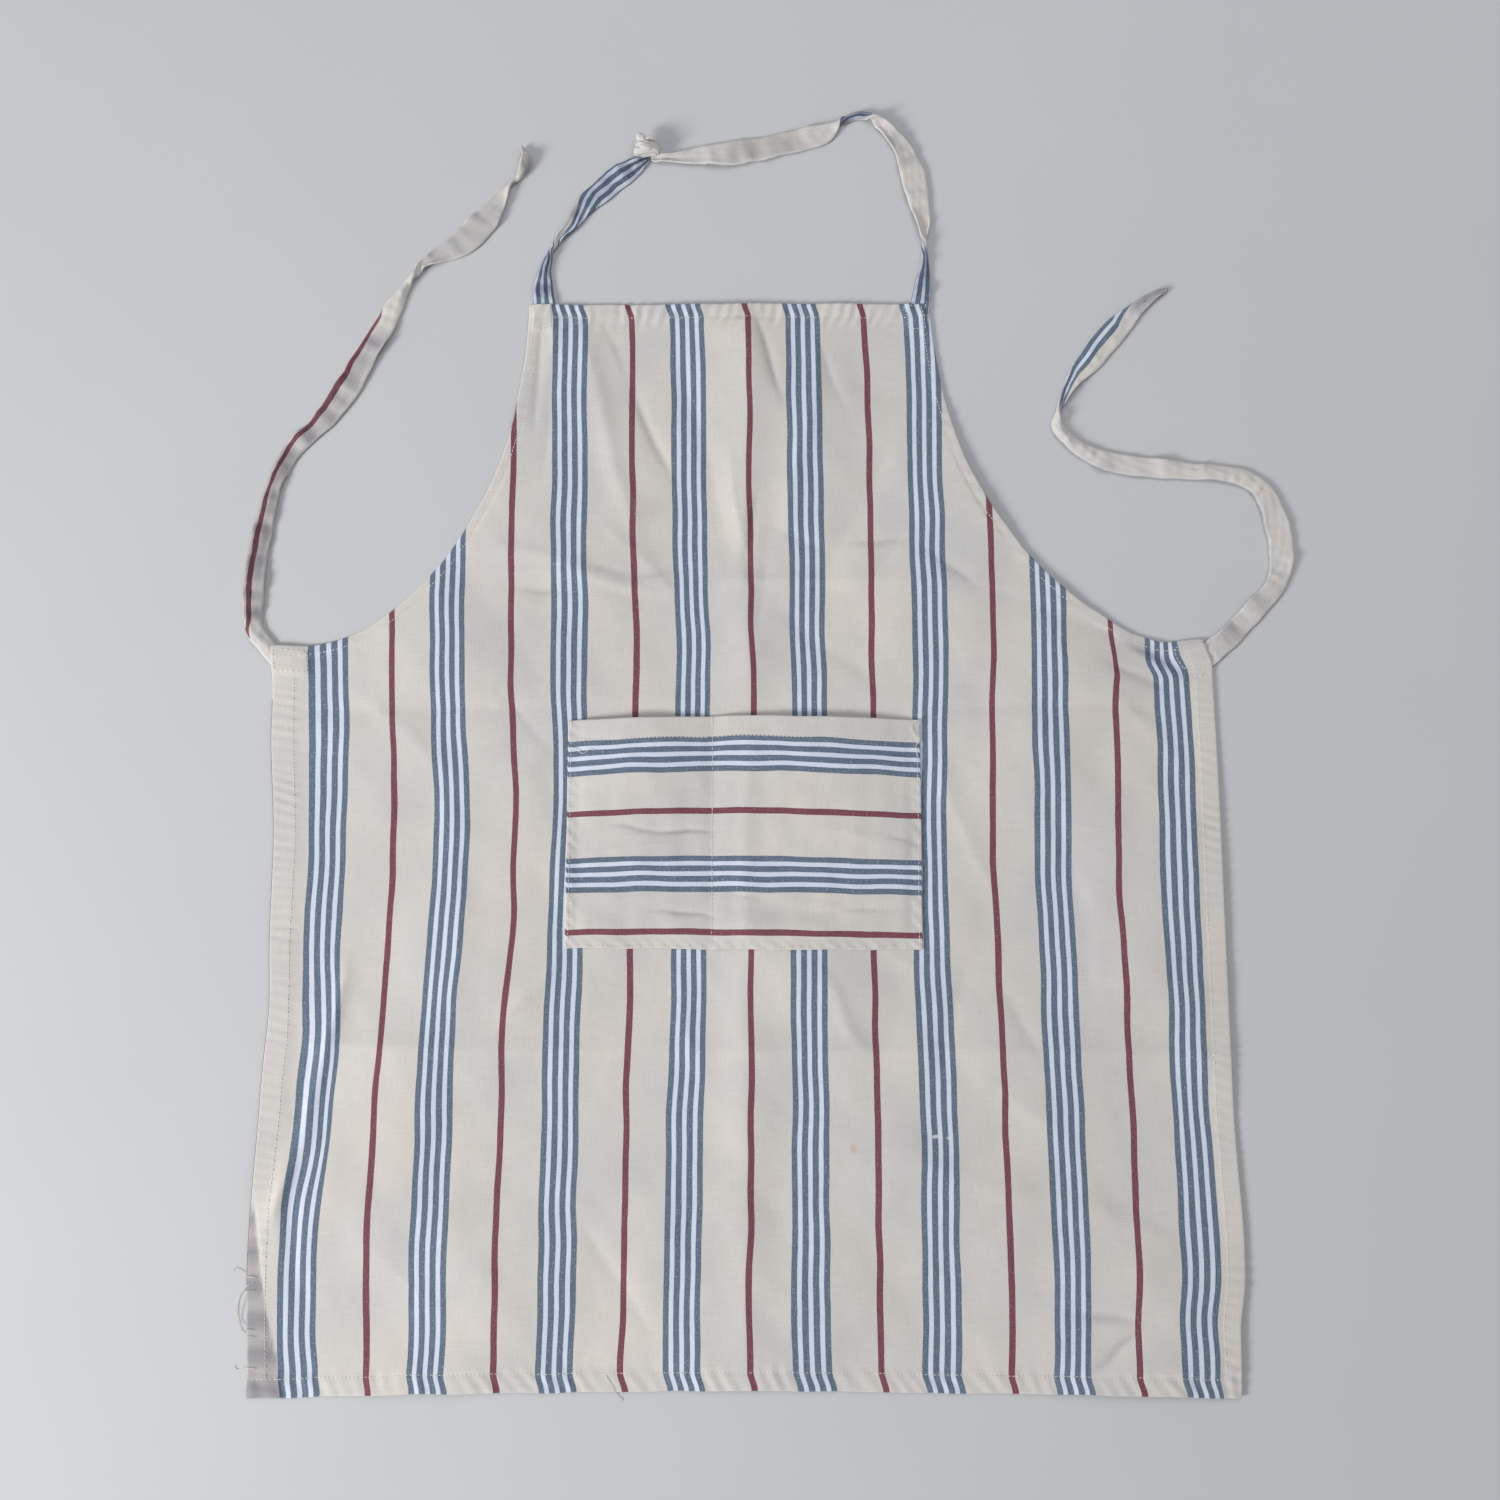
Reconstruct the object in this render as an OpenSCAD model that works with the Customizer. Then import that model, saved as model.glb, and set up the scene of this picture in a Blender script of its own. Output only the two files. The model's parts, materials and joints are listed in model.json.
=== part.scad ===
// Butcher apron in striped cotton twill, laid flat with its front up.
// A skirt and a bib carry a two-compartment pocket, two waist ties
// and a two-strap neck loop that is joined by a knot.
// The origin is the middle of the bottom edge, on the surface under the apron.
// X runs across the apron, Y towards the bib and Z up from the surface.

/* [Skirt] */
// Width of the skirt between its side edges
body_w = 772; // [700:1:840]
// Length of the skirt from the bottom edge to the waist line
skirt_l = 590; // [500:1:700]
// Thickness of one layer of the cloth
cloth_t = 0.8; // [0.6:0.1:1]
// Width of the turned hems on the side edges
side_hem = 15; // [10:1:22]
// Width of the turned hem on the bottom edge
bottom_hem_w = 15; // [10:1:30]

/* [Bib] */
// Height of the bib above the waist line
bib_h = 300; // [260:1:340]
// Width of the bib along its top edge
bib_w = 344; // [300:1:380]
// How far the top of the bib lies to the left of the middle
bib_lean = 12; // [0:1:20]
// Width of the turned hem on the top edge
top_hem = 13; // [10:1:20]
// Width of the turned edge along each armhole
armhole_hem = 8; // [5:1:12]

/* [Pocket] */
// Width of the pocket
pocket_w = 288; // [220:1:340]
// Height of the pocket
pocket_h = 189; // [150:1:230]
// Distance of the pocket mouth below the waist line
pocket_drop = 57; // [30:1:110]
// Share of the pocket width to the left of the divider
divider_share = 0.41; // [0.3:0.01:0.7]
// Height of the space inside the pocket
pocket_gap = 5.6; // [5.2:0.1:8]
// Width of the turned band along the pocket mouth
mouth_hem = 18; // [12:1:24]

/* [Straps] */
// Width of a waist tie at its sewn end
tie_w = 20; // [16:1:24]
// Width of a neck strap at its sewn end
neck_w = 18; // [14:1:22]
// Length of strap that is sewn down behind the cloth
sewn_l = 24; // [18:1:30]
// Thickness of a folded and sewn strap
strap_t = 1.6; // [1.2:0.1:2]

/* [Knot] */
// Length of the knot along the neck loop
knot_l = 18; // [14:1:24]
// Radius of the knot
knot_r = 8; // [7:0.5:10]

/* [Stitching] */
// Width of a sewing thread
thread_w = 0.7; // [0.5:0.1:1]
// How far a thread stands proud of the cloth
thread_h = 0.3; // [0.2:0.1:0.5]

/* [Hidden] */

// Layers: hems and sewn ends at the bottom, the main cloth over them
panel_z = cloth_t;
top_z = 2 * cloth_t;

// Levels along the apron
waist_y = skirt_l;
bib_top_y = skirt_l + bib_h;
half_w = body_w / 2;

// Clearance that is left on each side of a fold line
fold_gap = 0.3;

// Each armhole is part of an ellipse that ends just past the side edge
armhole_overrun = 8;
armhole_a = (body_w - bib_w) / 2 + armhole_overrun;
armhole_end = acos(armhole_overrun / armhole_a);
armhole_b = bib_h / sin(armhole_end);
armhole_steps = 28;

// Waist ties: centre of the sewn end, and pivot just outside the side edge
tie_drop = 11;
tie_y = waist_y - tie_drop;
tie_reach = 13;
tie_x = half_w + tie_reach;
tie_gap = 0.6;

// Neck straps: centre of each sewn end, measured in from the corner
neck_inset = 12;
neck_out = 5;
neck_left_x = -bib_w / 2 - bib_lean + neck_inset;
neck_right_x = bib_w / 2 - bib_lean - neck_inset;
neck_fold_y = bib_top_y + neck_out;

// Knot of the neck loop, measured from the middle of the bib top
knot_x = -83;
knot_y = bib_top_y + 142;
knot_z = 6;
knot_ridge = 2;
knot_taper = 2;
knot_steps = 12;
tail_w = 9;
tail_l = 17;
tail_x = 5;
tail_turn = 14;

// More than the height of anything that lies on the surface
headroom = 50;

// Pocket outline and its two compartments. Each rises from its sewn edges
// over a fold at both sides and at the bottom to a flat raised front.
pocket_top = waist_y - pocket_drop;
pocket_bottom = pocket_top - pocket_h;
pocket_margin = 6;
pocket_slope = 12;
pocket_foot = 30;
pocket_foot_y = pocket_bottom + pocket_margin;
pocket_front_y = pocket_foot_y + pocket_foot;
divider_x = pocket_w * (divider_share - 0.5);
divider_half = 3;
compartments = [
    [-pocket_w / 2 + pocket_margin, divider_x - divider_half],
    [divider_x + divider_half, pocket_w / 2 - pocket_margin]
];

// Distance of each seam from the edge that it holds
hem_seam = 1;
edge_seam = 3;
tack_l = 7;
tack_w = 2;

// Routes of the straps as laid: x, y and width at each point.
// Those of the ties start at the pivot, those of the neck loop
// at the middle of the bib top.
tie_left_route = [
    [0, 0, 16], [-8, 30, 17], [-10, 58, 19], [-8, 88, 18], [-3, 120, 17],
    [3, 150, 15], [18, 182, 16], [42, 207, 18], [61, 234, 22],
    [76, 264, 20], [90, 289, 19], [99, 308, 16], [107, 323, 10],
    [115, 336, 9], [123, 347, 10], [137, 356, 15], [157, 368, 24],
    [174, 386, 24], [185, 403, 17], [196, 421, 9], [204, 428, 9],
    [210, 440, 13], [207, 454, 8]
];
tie_right_route = [
    [0, 0, 16], [8, 22, 18], [22, 43, 19], [40, 63, 17], [47, 81, 20],
    [48, 100, 22], [45, 119, 22], [37, 143, 18], [24, 155, 16],
    [4, 161, 15], [-19, 163, 15], [-47, 165, 17], [-74, 168, 18],
    [-97, 173, 18], [-113, 180, 14], [-127, 191, 12], [-136, 203, 10],
    [-134, 216, 9], [-129, 228, 9], [-122, 242, 13], [-109, 258, 20],
    [-96, 274, 22], [-81, 291, 21], [-67, 305, 14], [-54, 316, 9],
    [-41, 323, 8]
];
neck_left_route = [
    [-156, 6, 18], [-158, 18, 16], [-158, 34, 12], [-150, 54, 10],
    [-138, 72, 12], [-122, 92, 18], [-106, 110, 22], [-96, 124, 18],
    [-88, 134, 12], [-80, 138, 10]
];
neck_right_route = [
    [160, 6, 18], [162, 22, 16], [165, 40, 10], [166, 56, 10],
    [165, 76, 14], [162, 98, 19], [155, 122, 21], [145, 144, 16],
    [131, 162, 11], [114, 172, 9], [96, 168, 10], [80, 158, 16],
    [58, 151, 21], [30, 144, 22], [0, 139, 23], [-28, 137, 18],
    [-48, 138, 13], [-62, 138, 10]
];
route_steps = 3;

// Colours of the cloth, the pocket, the straps and the sewing thread
cloth_colour = [0.85, 0.82, 0.76];
hem_colour = [0.80, 0.77, 0.71];
pocket_colour = [0.62, 0.68, 0.76];
strap_colour = [0.84, 0.81, 0.75];
blue_strap_colour = [0.52, 0.60, 0.70];
thread_colour = [0.93, 0.91, 0.86];

$fn = 48;

// Sideways shift of the bib at height y above the waist line
function lean(y) = -bib_lean * (1 - pow(1 - y / bib_h, 2));

// Point of an armhole edge at angle a, moved into the cloth by inset
function armhole_point(side, a, inset) =
    let (
        nx = -armhole_b * cos(a),
        ny = -armhole_a * sin(a),
        n = sqrt(nx * nx + ny * ny),
        x = bib_w / 2 + armhole_a * (1 - cos(a)) + inset * nx / n,
        y = bib_h - armhole_b * sin(a) + inset * ny / n
    )
    [side * x + lean(y), waist_y + y];

// Armhole edge from the top of the bib down to the waist line
function armhole_edge(side, inset) = [
    for (i = [0 : armhole_steps])
        armhole_point(side, armhole_end * i / armhole_steps, inset)
];

function reversed(list) = [for (i = [len(list) - 1 : -1 : 0]) list[i]];

// Smooth curve through four neighbouring points, at t from 0 to 1
function blend_point(p0, p1, p2, p3, t) =
    0.5 * (2 * p1 + (p2 - p0) * t + (2 * p0 - 5 * p1 + 4 * p2 - p3) * t * t
    + (3 * p1 - p0 - 3 * p2 + p3) * t * t * t);

// Route with route_steps points for every stretch between two given points
function smooth_route(r) = concat(
    [
        for (i = [0 : len(r) - 2])
            for (k = [0 : route_steps - 1])
                blend_point(r[max(i - 1, 0)], r[i], r[i + 1],
                    r[min(i + 2, len(r) - 1)], k / route_steps)
    ],
    [r[len(r) - 1]]
);

// Edge of a strap on one side of its route
function strap_edge(r, side) = [
    for (i = [0 : len(r) - 1])
        let (
            d = r[min(i + 1, len(r) - 1)] - r[max(i - 1, 0)],
            n = sqrt(d[0] * d[0] + d[1] * d[1]),
            w = side * r[i][2] / 2
        )
        [r[i][0] - d[1] / n * w, r[i][1] + d[0] / n * w]
];

// Flat strap that follows a route
module strap(route) {
    r = smooth_route(route);
    linear_extrude(strap_t)
        polygon(concat(strap_edge(r, 1), reversed(strap_edge(r, -1))));
}

// Flat piece of cloth with its lowest face at height z
module plate(x0, y0, x1, y1, z, t = cloth_t) {
    translate([x0, y0, z])
        cube([x1 - x0, y1 - y0, t]);
}

// Thread line along X or Y, centred on the seam
module seam_x(x0, x1, y, z) {
    plate(x0, y - thread_w / 2, x1, y + thread_w / 2, z, thread_h);
}

module seam_y(x, y0, y1, z) {
    plate(x - thread_w / 2, y0, x + thread_w / 2, y1, z, thread_h);
}

// Rectangle of stitching that holds a sewn end
module seam_box(x, y, w, l) {
    linear_extrude(thread_h)
        difference() {
            translate([x - w / 2, y - l / 2])
                square([w, l]);
            translate([x - w / 2 + thread_w, y - l / 2 + thread_w])
                square([w - 2 * thread_w, l - 2 * thread_w]);
        }
}

// ---- Skirt ----

module skirt_panel() {
    color(cloth_colour)
        plate(-half_w, 0, half_w, waist_y - fold_gap, panel_z);
}

module bottom_hem() {
    color(hem_colour)
        plate(-half_w, 0, half_w, bottom_hem_w, 0);
}

module side_hem(side) {
    color(hem_colour)
        translate([side * (half_w - side_hem / 2), 0, 0])
            plate(-side_hem / 2, bottom_hem_w, side_hem / 2, tie_y - tie_w / 2, 0);
}

module side_hem_left() {
    side_hem(-1);
}

module side_hem_right() {
    side_hem(1);
}

module bottom_stitching() {
    color(thread_colour)
        seam_x(-half_w, half_w, bottom_hem_w - hem_seam, top_z);
}

module side_stitching(side) {
    color(thread_colour)
        seam_y(side * (half_w - side_hem + hem_seam), bottom_hem_w, waist_y - sewn_l, top_z);
}

module side_stitching_left() {
    side_stitching(-1);
}

module side_stitching_right() {
    side_stitching(1);
}

// ---- Pocket ----

// Raised front of both compartments, open along the mouth
module pocket_front() {
    color(pocket_colour)
        for (c = compartments)
            plate(c[0] + pocket_slope, pocket_front_y, c[1] - pocket_slope, pocket_top,
                top_z + pocket_gap);
}

// Strip of cloth that rises from a sewn edge at x0 to the raised front at x1
module side_fold(x0, x1) {
    intersection() {
        translate([0, pocket_top, 0])
            rotate([90, 0, 0])
                linear_extrude(pocket_h)
                    polygon([
                        [x0, 0], [x1, pocket_gap],
                        [x1, pocket_gap + cloth_t], [x0, cloth_t]
                    ]);
        linear_extrude(headroom)
            polygon([
                [x0, pocket_foot_y], [x1, pocket_front_y],
                [x1, pocket_top], [x0, pocket_top]
            ]);
    }
}

module pocket_side_folds() {
    color(pocket_colour)
        translate([0, 0, top_z])
            for (c = compartments) {
                side_fold(c[0], c[0] + pocket_slope);
                side_fold(c[1], c[1] - pocket_slope);
            }
}

// Strip of cloth that rises from the bottom seam of a compartment
module bottom_fold(c) {
    intersection() {
        translate([c[0], 0, 0])
            rotate([90, 0, 90])
                linear_extrude(c[1] - c[0])
                    polygon([
                        [pocket_foot_y, 0], [pocket_front_y, pocket_gap],
                        [pocket_front_y, pocket_gap + cloth_t], [pocket_foot_y, cloth_t]
                    ]);
        linear_extrude(headroom)
            polygon([
                [c[0], pocket_foot_y], [c[1], pocket_foot_y],
                [c[1] - pocket_slope, pocket_front_y], [c[0] + pocket_slope, pocket_front_y]
            ]);
    }
}

module pocket_bottom_folds() {
    color(pocket_colour)
        translate([0, 0, top_z])
            for (c = compartments)
                bottom_fold(c);
}

// Flat border that is sewn to the skirt at both sides, the bottom and the divider
module pocket_sewn_border() {
    color(pocket_colour)
        translate([0, 0, top_z])
            linear_extrude(cloth_t)
                difference() {
                    translate([-pocket_w / 2, pocket_bottom])
                        square([pocket_w, pocket_h]);
                    for (c = compartments)
                        translate([c[0], pocket_foot_y])
                            square([c[1] - c[0], pocket_h]);
                }
}

module pocket_mouth_hem() {
    color(hem_colour)
        for (c = compartments)
            plate(c[0] + pocket_slope, pocket_top - mouth_hem,
                c[1] - pocket_slope, pocket_top, top_z + pocket_gap - cloth_t);
}

module pocket_edge_stitching() {
    x = pocket_w / 2 - edge_seam;
    y = pocket_bottom + edge_seam;
    z = top_z + cloth_t;
    color(thread_colour)
        union() {
            seam_x(-x, x, y, z);
            seam_y(-x, y, pocket_top - tack_l, z);
            seam_y(x, y, pocket_top - tack_l, z);
        }
}

module pocket_divider_stitching() {
    color(thread_colour)
        seam_y(divider_x, pocket_foot_y, pocket_top - tack_l, top_z + cloth_t);
}

module pocket_mouth_stitching() {
    color(thread_colour)
        for (c = compartments)
            seam_x(c[0] + pocket_slope, c[1] - pocket_slope,
                pocket_top - mouth_hem + hem_seam, top_z + cloth_t + pocket_gap);
}

module pocket_bar_tacks() {
    color(thread_colour)
        for (x = [edge_seam - pocket_w / 2, divider_x, pocket_w / 2 - edge_seam])
            plate(x - tack_w / 2, pocket_top - tack_l, x + tack_w / 2, pocket_top,
                top_z + cloth_t, thread_h);
}

// ---- Bib ----

// Outline of the bib, kept above the fold line
module bib_outline() {
    intersection() {
        polygon(concat(armhole_edge(-1, 0), reversed(armhole_edge(1, 0))));
        translate([-half_w, waist_y + fold_gap])
            square([body_w, bib_h]);
    }
}

module bib_panel() {
    color(cloth_colour)
        translate([0, 0, panel_z])
            linear_extrude(cloth_t)
                bib_outline();
}

module bib_top_hem() {
    color(hem_colour)
        plate(neck_left_x + neck_w / 2, bib_top_y - top_hem,
            neck_right_x - neck_w / 2, bib_top_y, 0);
}

// Strip along an armhole between two distances from the edge
module armhole_strip(side, inset, w, y1) {
    intersection() {
        polygon(concat(armhole_edge(side, inset), reversed(armhole_edge(side, inset + w))));
        translate([-half_w, waist_y + fold_gap])
            square([body_w, y1 - waist_y - fold_gap]);
    }
}

module armhole_hem(side) {
    color(hem_colour)
        linear_extrude(cloth_t)
            armhole_strip(side, 0, armhole_hem, bib_top_y - sewn_l);
}

module armhole_hem_left() {
    armhole_hem(-1);
}

module armhole_hem_right() {
    armhole_hem(1);
}

module bib_top_stitching() {
    color(thread_colour)
        seam_x(neck_left_x + neck_w / 2, neck_right_x - neck_w / 2,
            bib_top_y - top_hem + hem_seam, top_z);
}

module armhole_stitching(side) {
    color(thread_colour)
        translate([0, 0, top_z])
            linear_extrude(thread_h)
                armhole_strip(side, armhole_hem - hem_seam, thread_w, bib_top_y - sewn_l);
}

module armhole_stitching_left() {
    armhole_stitching(-1);
}

module armhole_stitching_right() {
    armhole_stitching(1);
}

// ---- Waist ties ----

// Part of a tie that is sewn down behind the corner of the skirt
module tie_sewn_end(side) {
    inner = half_w - sewn_l;
    outer = tie_x - tie_w / 2 - tie_gap;
    color(strap_colour)
        translate([side * (inner + outer) / 2, tie_y, 0])
            plate((inner - outer) / 2, -tie_w / 2, (outer - inner) / 2, tie_w / 2, 0);
}

module tie_left_sewn_end() {
    tie_sewn_end(-1);
}

module tie_right_sewn_end() {
    tie_sewn_end(1);
}

module tie_stitching(side) {
    color(thread_colour)
        translate([0, 0, top_z])
            seam_box(side * (half_w - sewn_l / 2), tie_y, sewn_l - edge_seam, tie_w - edge_seam);
}

module tie_left_stitching() {
    tie_stitching(-1);
}

module tie_right_stitching() {
    tie_stitching(1);
}

// Free length of a tie, with a round end that turns about its pivot
module tie(side, route) {
    color(strap_colour)
        translate([side * tie_x, tie_y, 0])
            union() {
                cylinder(h = strap_t, d = tie_w);
                strap(route);
            }
}

module tie_left() {
    tie(-1, tie_left_route);
}

module tie_right() {
    tie(1, tie_right_route);
}

// ---- Neck loop ----

// Part of a neck strap that is sewn down behind the top of the bib
module neck_sewn_end(x) {
    color(blue_strap_colour)
        plate(x - neck_w / 2, bib_top_y - sewn_l, x + neck_w / 2, neck_fold_y - fold_gap, 0);
}

module neck_strap_left_sewn_end() {
    neck_sewn_end(neck_left_x);
}

module neck_strap_right_sewn_end() {
    neck_sewn_end(neck_right_x);
}

module neck_stitching(x) {
    color(thread_colour)
        translate([0, 0, top_z])
            seam_box(x, bib_top_y - sewn_l / 2, neck_w - edge_seam, sewn_l - edge_seam);
}

module neck_stitching_left() {
    neck_stitching(neck_left_x);
}

module neck_stitching_right() {
    neck_stitching(neck_right_x);
}

// Everything in the loop stays beyond the fold line of the neck straps
module beyond_fold() {
    intersection() {
        children();
        translate([-body_w, neck_fold_y + fold_gap, 0])
            cube([2 * body_w, bib_h, headroom]);
    }
}

module neck_strap(route) {
    beyond_fold()
        translate([-bib_lean, bib_top_y, 0])
            strap(route);
}

// Radius of the knot at share t of its length: a barrel with two turns of strap
function knot_radius(t) =
    knot_r - knot_taper * pow(2 * t - 1, 4) + knot_ridge * abs(sin(360 * t));

// Knot with its flat ends facing the two straps
module knot_barrel() {
    translate([knot_x - knot_l / 2, knot_y, knot_z])
        rotate([0, 90, 0])
            rotate_extrude()
                polygon(concat(
                    [[0, 0]],
                    [for (i = [0 : knot_steps]) [knot_radius(i / knot_steps), i * knot_l / knot_steps]],
                    [[0, knot_l]]
                ));
}

module above_surface() {
    intersection() {
        children();
        translate([-body_w, 0, 0])
            cube([2 * body_w, 2 * bib_top_y, headroom]);
    }
}

module neck_knot() {
    color(strap_colour)
        above_surface()
            knot_barrel();
}

// Short end of a strap that stands out of the knot
module knot_tail(side) {
    color(strap_colour)
        difference() {
            translate([knot_x + side * tail_x, knot_y, knot_z])
                rotate([0, 0, -side * tail_turn])
                    translate([-tail_w / 2, 0, -strap_t / 2])
                        cube([tail_w, tail_l, strap_t]);
            knot_barrel();
        }
}

module knot_tail_left() {
    knot_tail(-1);
}

module knot_tail_right() {
    knot_tail(1);
}

module neck_strap_left() {
    color(blue_strap_colour)
        difference() {
            neck_strap(neck_left_route);
            knot_barrel();
        }
}

module neck_strap_right() {
    color(strap_colour)
        difference() {
            neck_strap(neck_right_route);
            knot_barrel();
        }
}

skirt_panel();
bottom_hem();
side_hem_left();
side_hem_right();
bottom_stitching();
side_stitching_left();
side_stitching_right();
pocket_front();
pocket_side_folds();
pocket_bottom_folds();
pocket_sewn_border();
pocket_mouth_hem();
pocket_edge_stitching();
pocket_divider_stitching();
pocket_mouth_stitching();
pocket_bar_tacks();
tie_left_sewn_end();
tie_right_sewn_end();
tie_left_stitching();
tie_right_stitching();
bib_panel();
bib_top_hem();
armhole_hem_left();
armhole_hem_right();
bib_top_stitching();
armhole_stitching_left();
armhole_stitching_right();
neck_strap_left_sewn_end();
neck_strap_right_sewn_end();
neck_stitching_left();
neck_stitching_right();
neck_strap_left();
neck_strap_right();
neck_knot();
knot_tail_left();
knot_tail_right();
tie_left();
tie_right();
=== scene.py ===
"""Butcher apron of striped cotton twill, laid flat with its front up."""

import json
import math

import bpy
import numpy as np
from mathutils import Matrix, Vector


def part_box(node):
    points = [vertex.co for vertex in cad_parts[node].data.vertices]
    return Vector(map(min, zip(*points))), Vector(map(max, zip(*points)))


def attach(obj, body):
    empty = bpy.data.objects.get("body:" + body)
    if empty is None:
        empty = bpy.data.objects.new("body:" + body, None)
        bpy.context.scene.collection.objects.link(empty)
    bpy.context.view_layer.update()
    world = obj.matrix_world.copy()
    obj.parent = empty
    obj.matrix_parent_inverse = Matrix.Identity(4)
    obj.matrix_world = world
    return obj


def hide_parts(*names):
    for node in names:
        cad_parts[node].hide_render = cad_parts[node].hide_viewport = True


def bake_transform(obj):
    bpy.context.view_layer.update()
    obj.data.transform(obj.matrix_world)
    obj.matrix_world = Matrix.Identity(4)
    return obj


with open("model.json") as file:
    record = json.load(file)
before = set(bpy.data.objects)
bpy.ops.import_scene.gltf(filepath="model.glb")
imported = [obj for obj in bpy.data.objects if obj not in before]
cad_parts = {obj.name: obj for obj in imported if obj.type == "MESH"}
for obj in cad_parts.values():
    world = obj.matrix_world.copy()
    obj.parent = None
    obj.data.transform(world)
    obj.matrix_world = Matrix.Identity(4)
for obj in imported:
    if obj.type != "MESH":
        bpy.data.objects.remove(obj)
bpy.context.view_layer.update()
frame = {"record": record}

MM = 0.001
SIDES = {-1: "left", 1: "right"}

# ---- Places that the frame gives ----

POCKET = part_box("pocket_front")
TIE_ENDS = {side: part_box(f"tie_{word}_sewn_end") for side, word in SIDES.items()}
NECK_ENDS = {side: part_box(f"neck_strap_{word}_sewn_end") for side, word in SIDES.items()}
PIVOTS = {joint["name"]: joint["pos_m"] for joint in frame["record"]["behaviour"]["joints"]}
TIE_X, TIE_Y, _ = PIVOTS["tie_right_swing"]
LEAN_TOP = PIVOTS["neck_fold"][0]
WAIST = PIVOTS["bib_fold"][1]
HALF_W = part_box("skirt_panel")[1][0]
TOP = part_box("bib_panel")[1][1]
BIB_H = TOP - WAIST

# ---- Cut of the bib, as the CAD model draws it ----

BIB_W = 344 * MM
BIB_LEAN = 12 * MM
ARMHOLE_OVERRUN = 8 * MM
ARMHOLE_A = HALF_W - BIB_W / 2 + ARMHOLE_OVERRUN
ARMHOLE_END = math.acos(ARMHOLE_OVERRUN / ARMHOLE_A)
ARMHOLE_B = BIB_H / math.sin(ARMHOLE_END)

# ---- Cloth ----

CLOTH_T = 0.7 * MM  # one layer
HEM_H = 2.0 * MM  # cloth and two turned layers
STRAP_T = 1.7 * MM
LAYER_GAP = 0.06 * MM  # between the cloth and the layers turned behind it
OVER_FLOOR = 0.1 * MM  # the lowest that rims, straps and the knot come
FIELD_Z = 1.3 * MM  # top of the cloth away from the hems
EDGE = 1.0 * MM  # how far the main cloth stops short of the folded edge
BOTTOM_HEM = 15 * MM
SIDE_HEM = 15 * MM
TOP_HEM = 13 * MM
ARMHOLE_HEM = 8 * MM


def smooth(x, low, high):
    """0 below low, 1 above high and a smooth step between."""
    t = np.clip((x - low) / (high - low), 0, 1)
    return t * t * (3 - 2 * t)


def between(x, low, full, ebb, high):
    """0 below low and above high, 1 from full to ebb."""
    return smooth(x, low, full) * (1 - smooth(x, ebb, high))


def bell(x, half):
    """1 at 0, falling off over the distance half."""
    return np.exp(-((x / half) ** 2))


GOLDEN_ANGLE = 2.39996  # radians


def waves(x, y, length, seed, count=7):
    """Sum of plane waves of about one wavelength, roughly from -1 to 1."""
    total = np.zeros(np.broadcast(x, y).shape)
    for k in range(count):
        turn = GOLDEN_ANGLE * (k + 1) + 1.3 * seed
        size = length * (0.7 + 0.6 * ((0.618 * k + 0.37 * seed) % 1))
        phase = 5.1 * k + 1.7 * seed
        total = total + np.sin(2 * math.pi * (x * math.cos(turn) + y * math.sin(turn)) / size + phase)
    return total / (1.5 * math.sqrt(count))


# ---- Outline ----


def lean(t):
    """Sideways shift of the bib's cut at height t."""
    up = np.clip((t - WAIST) / BIB_H, 0, 1)
    return -BIB_LEAN * (1 - (1 - up) ** 2)


def armhole(angle, inset=0.0):
    """Right armhole edge before the bib leans, drawn in by inset: distance from the middle and height."""
    s = BIB_W / 2 + ARMHOLE_A * (1 - np.cos(angle)) - inset * np.cos(angle)
    return s, TOP - (ARMHOLE_B + inset) * np.sin(angle)


def armhole_path(side, steps=240):
    """Points of an armhole edge from the waist up to the top of the bib."""
    s, t = armhole(np.linspace(ARMHOLE_END, 0, steps + 1))
    return np.stack([side * s + lean(t), t], axis=1)


ARMHOLES = {side: armhole_path(side) for side in SIDES}


def armhole_distance(s, t):
    """Distance of each point from the nearer armhole edge."""
    best = np.full(np.shape(s), 1e9)
    for path in ARMHOLES.values():
        for (ax, ay), (bx, by) in zip(path[:-4:4], path[4::4]):
            dx, dy = bx - ax, by - ay
            u = np.clip(((s - ax) * dx + (t - ay) * dy) / (dx * dx + dy * dy), 0, 1)
            best = np.minimum(best, np.hypot(s - ax - u * dx, t - ay - u * dy))
    return best


# ---- How the cloth lies ----

PULLS = [
    # where the cloth is drawn sideways: middle (s, t), half size of the place and how far, in millimetres
    ((-80, 560), (75, 170), 6.0), ((-200, 410), (55, 85), 6.0), ((-270, 480), (60, 200), 3.0),
    ((-349, 250), (28, 75), 7.0), ((-340, 560), (40, 120), 4.0), ((-386, 520), (25, 60), -5.0),
    ((-386, 304), (15, 40), 3.0), ((-386, 110), (20, 50), -2.5), ((-30, 800), (45, 90), 2.5),
    ((-70, 315), (60, 60), 2.5), ((200, 450), (80, 100), -4.0), ((240, 130), (130, 130), 3.0),
    ((385, 110), (50, 70), 4.0), ((352, 58), (40, 20), -2.5), ((-180, 500), (45, 60), 5.0),
    ((-60, 585), (60, 60), 2.5), ((-305, 270), (60, 80), 4.0), ((-325, 15), (60, 30), 4.0),
    ((-349, 185), (18, 30), 3.5), ((330, 400), (50, 80), -2.0), ((40, 215), (120, 60), 1.8),
    ((-196, 365), (24, 36), 3.5), ((-349, 262), (20, 70), 2.5), ((304, 578), (24, 20), 3.5),
    ((-392, 590), (18, 24), -6.0),
]


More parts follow.
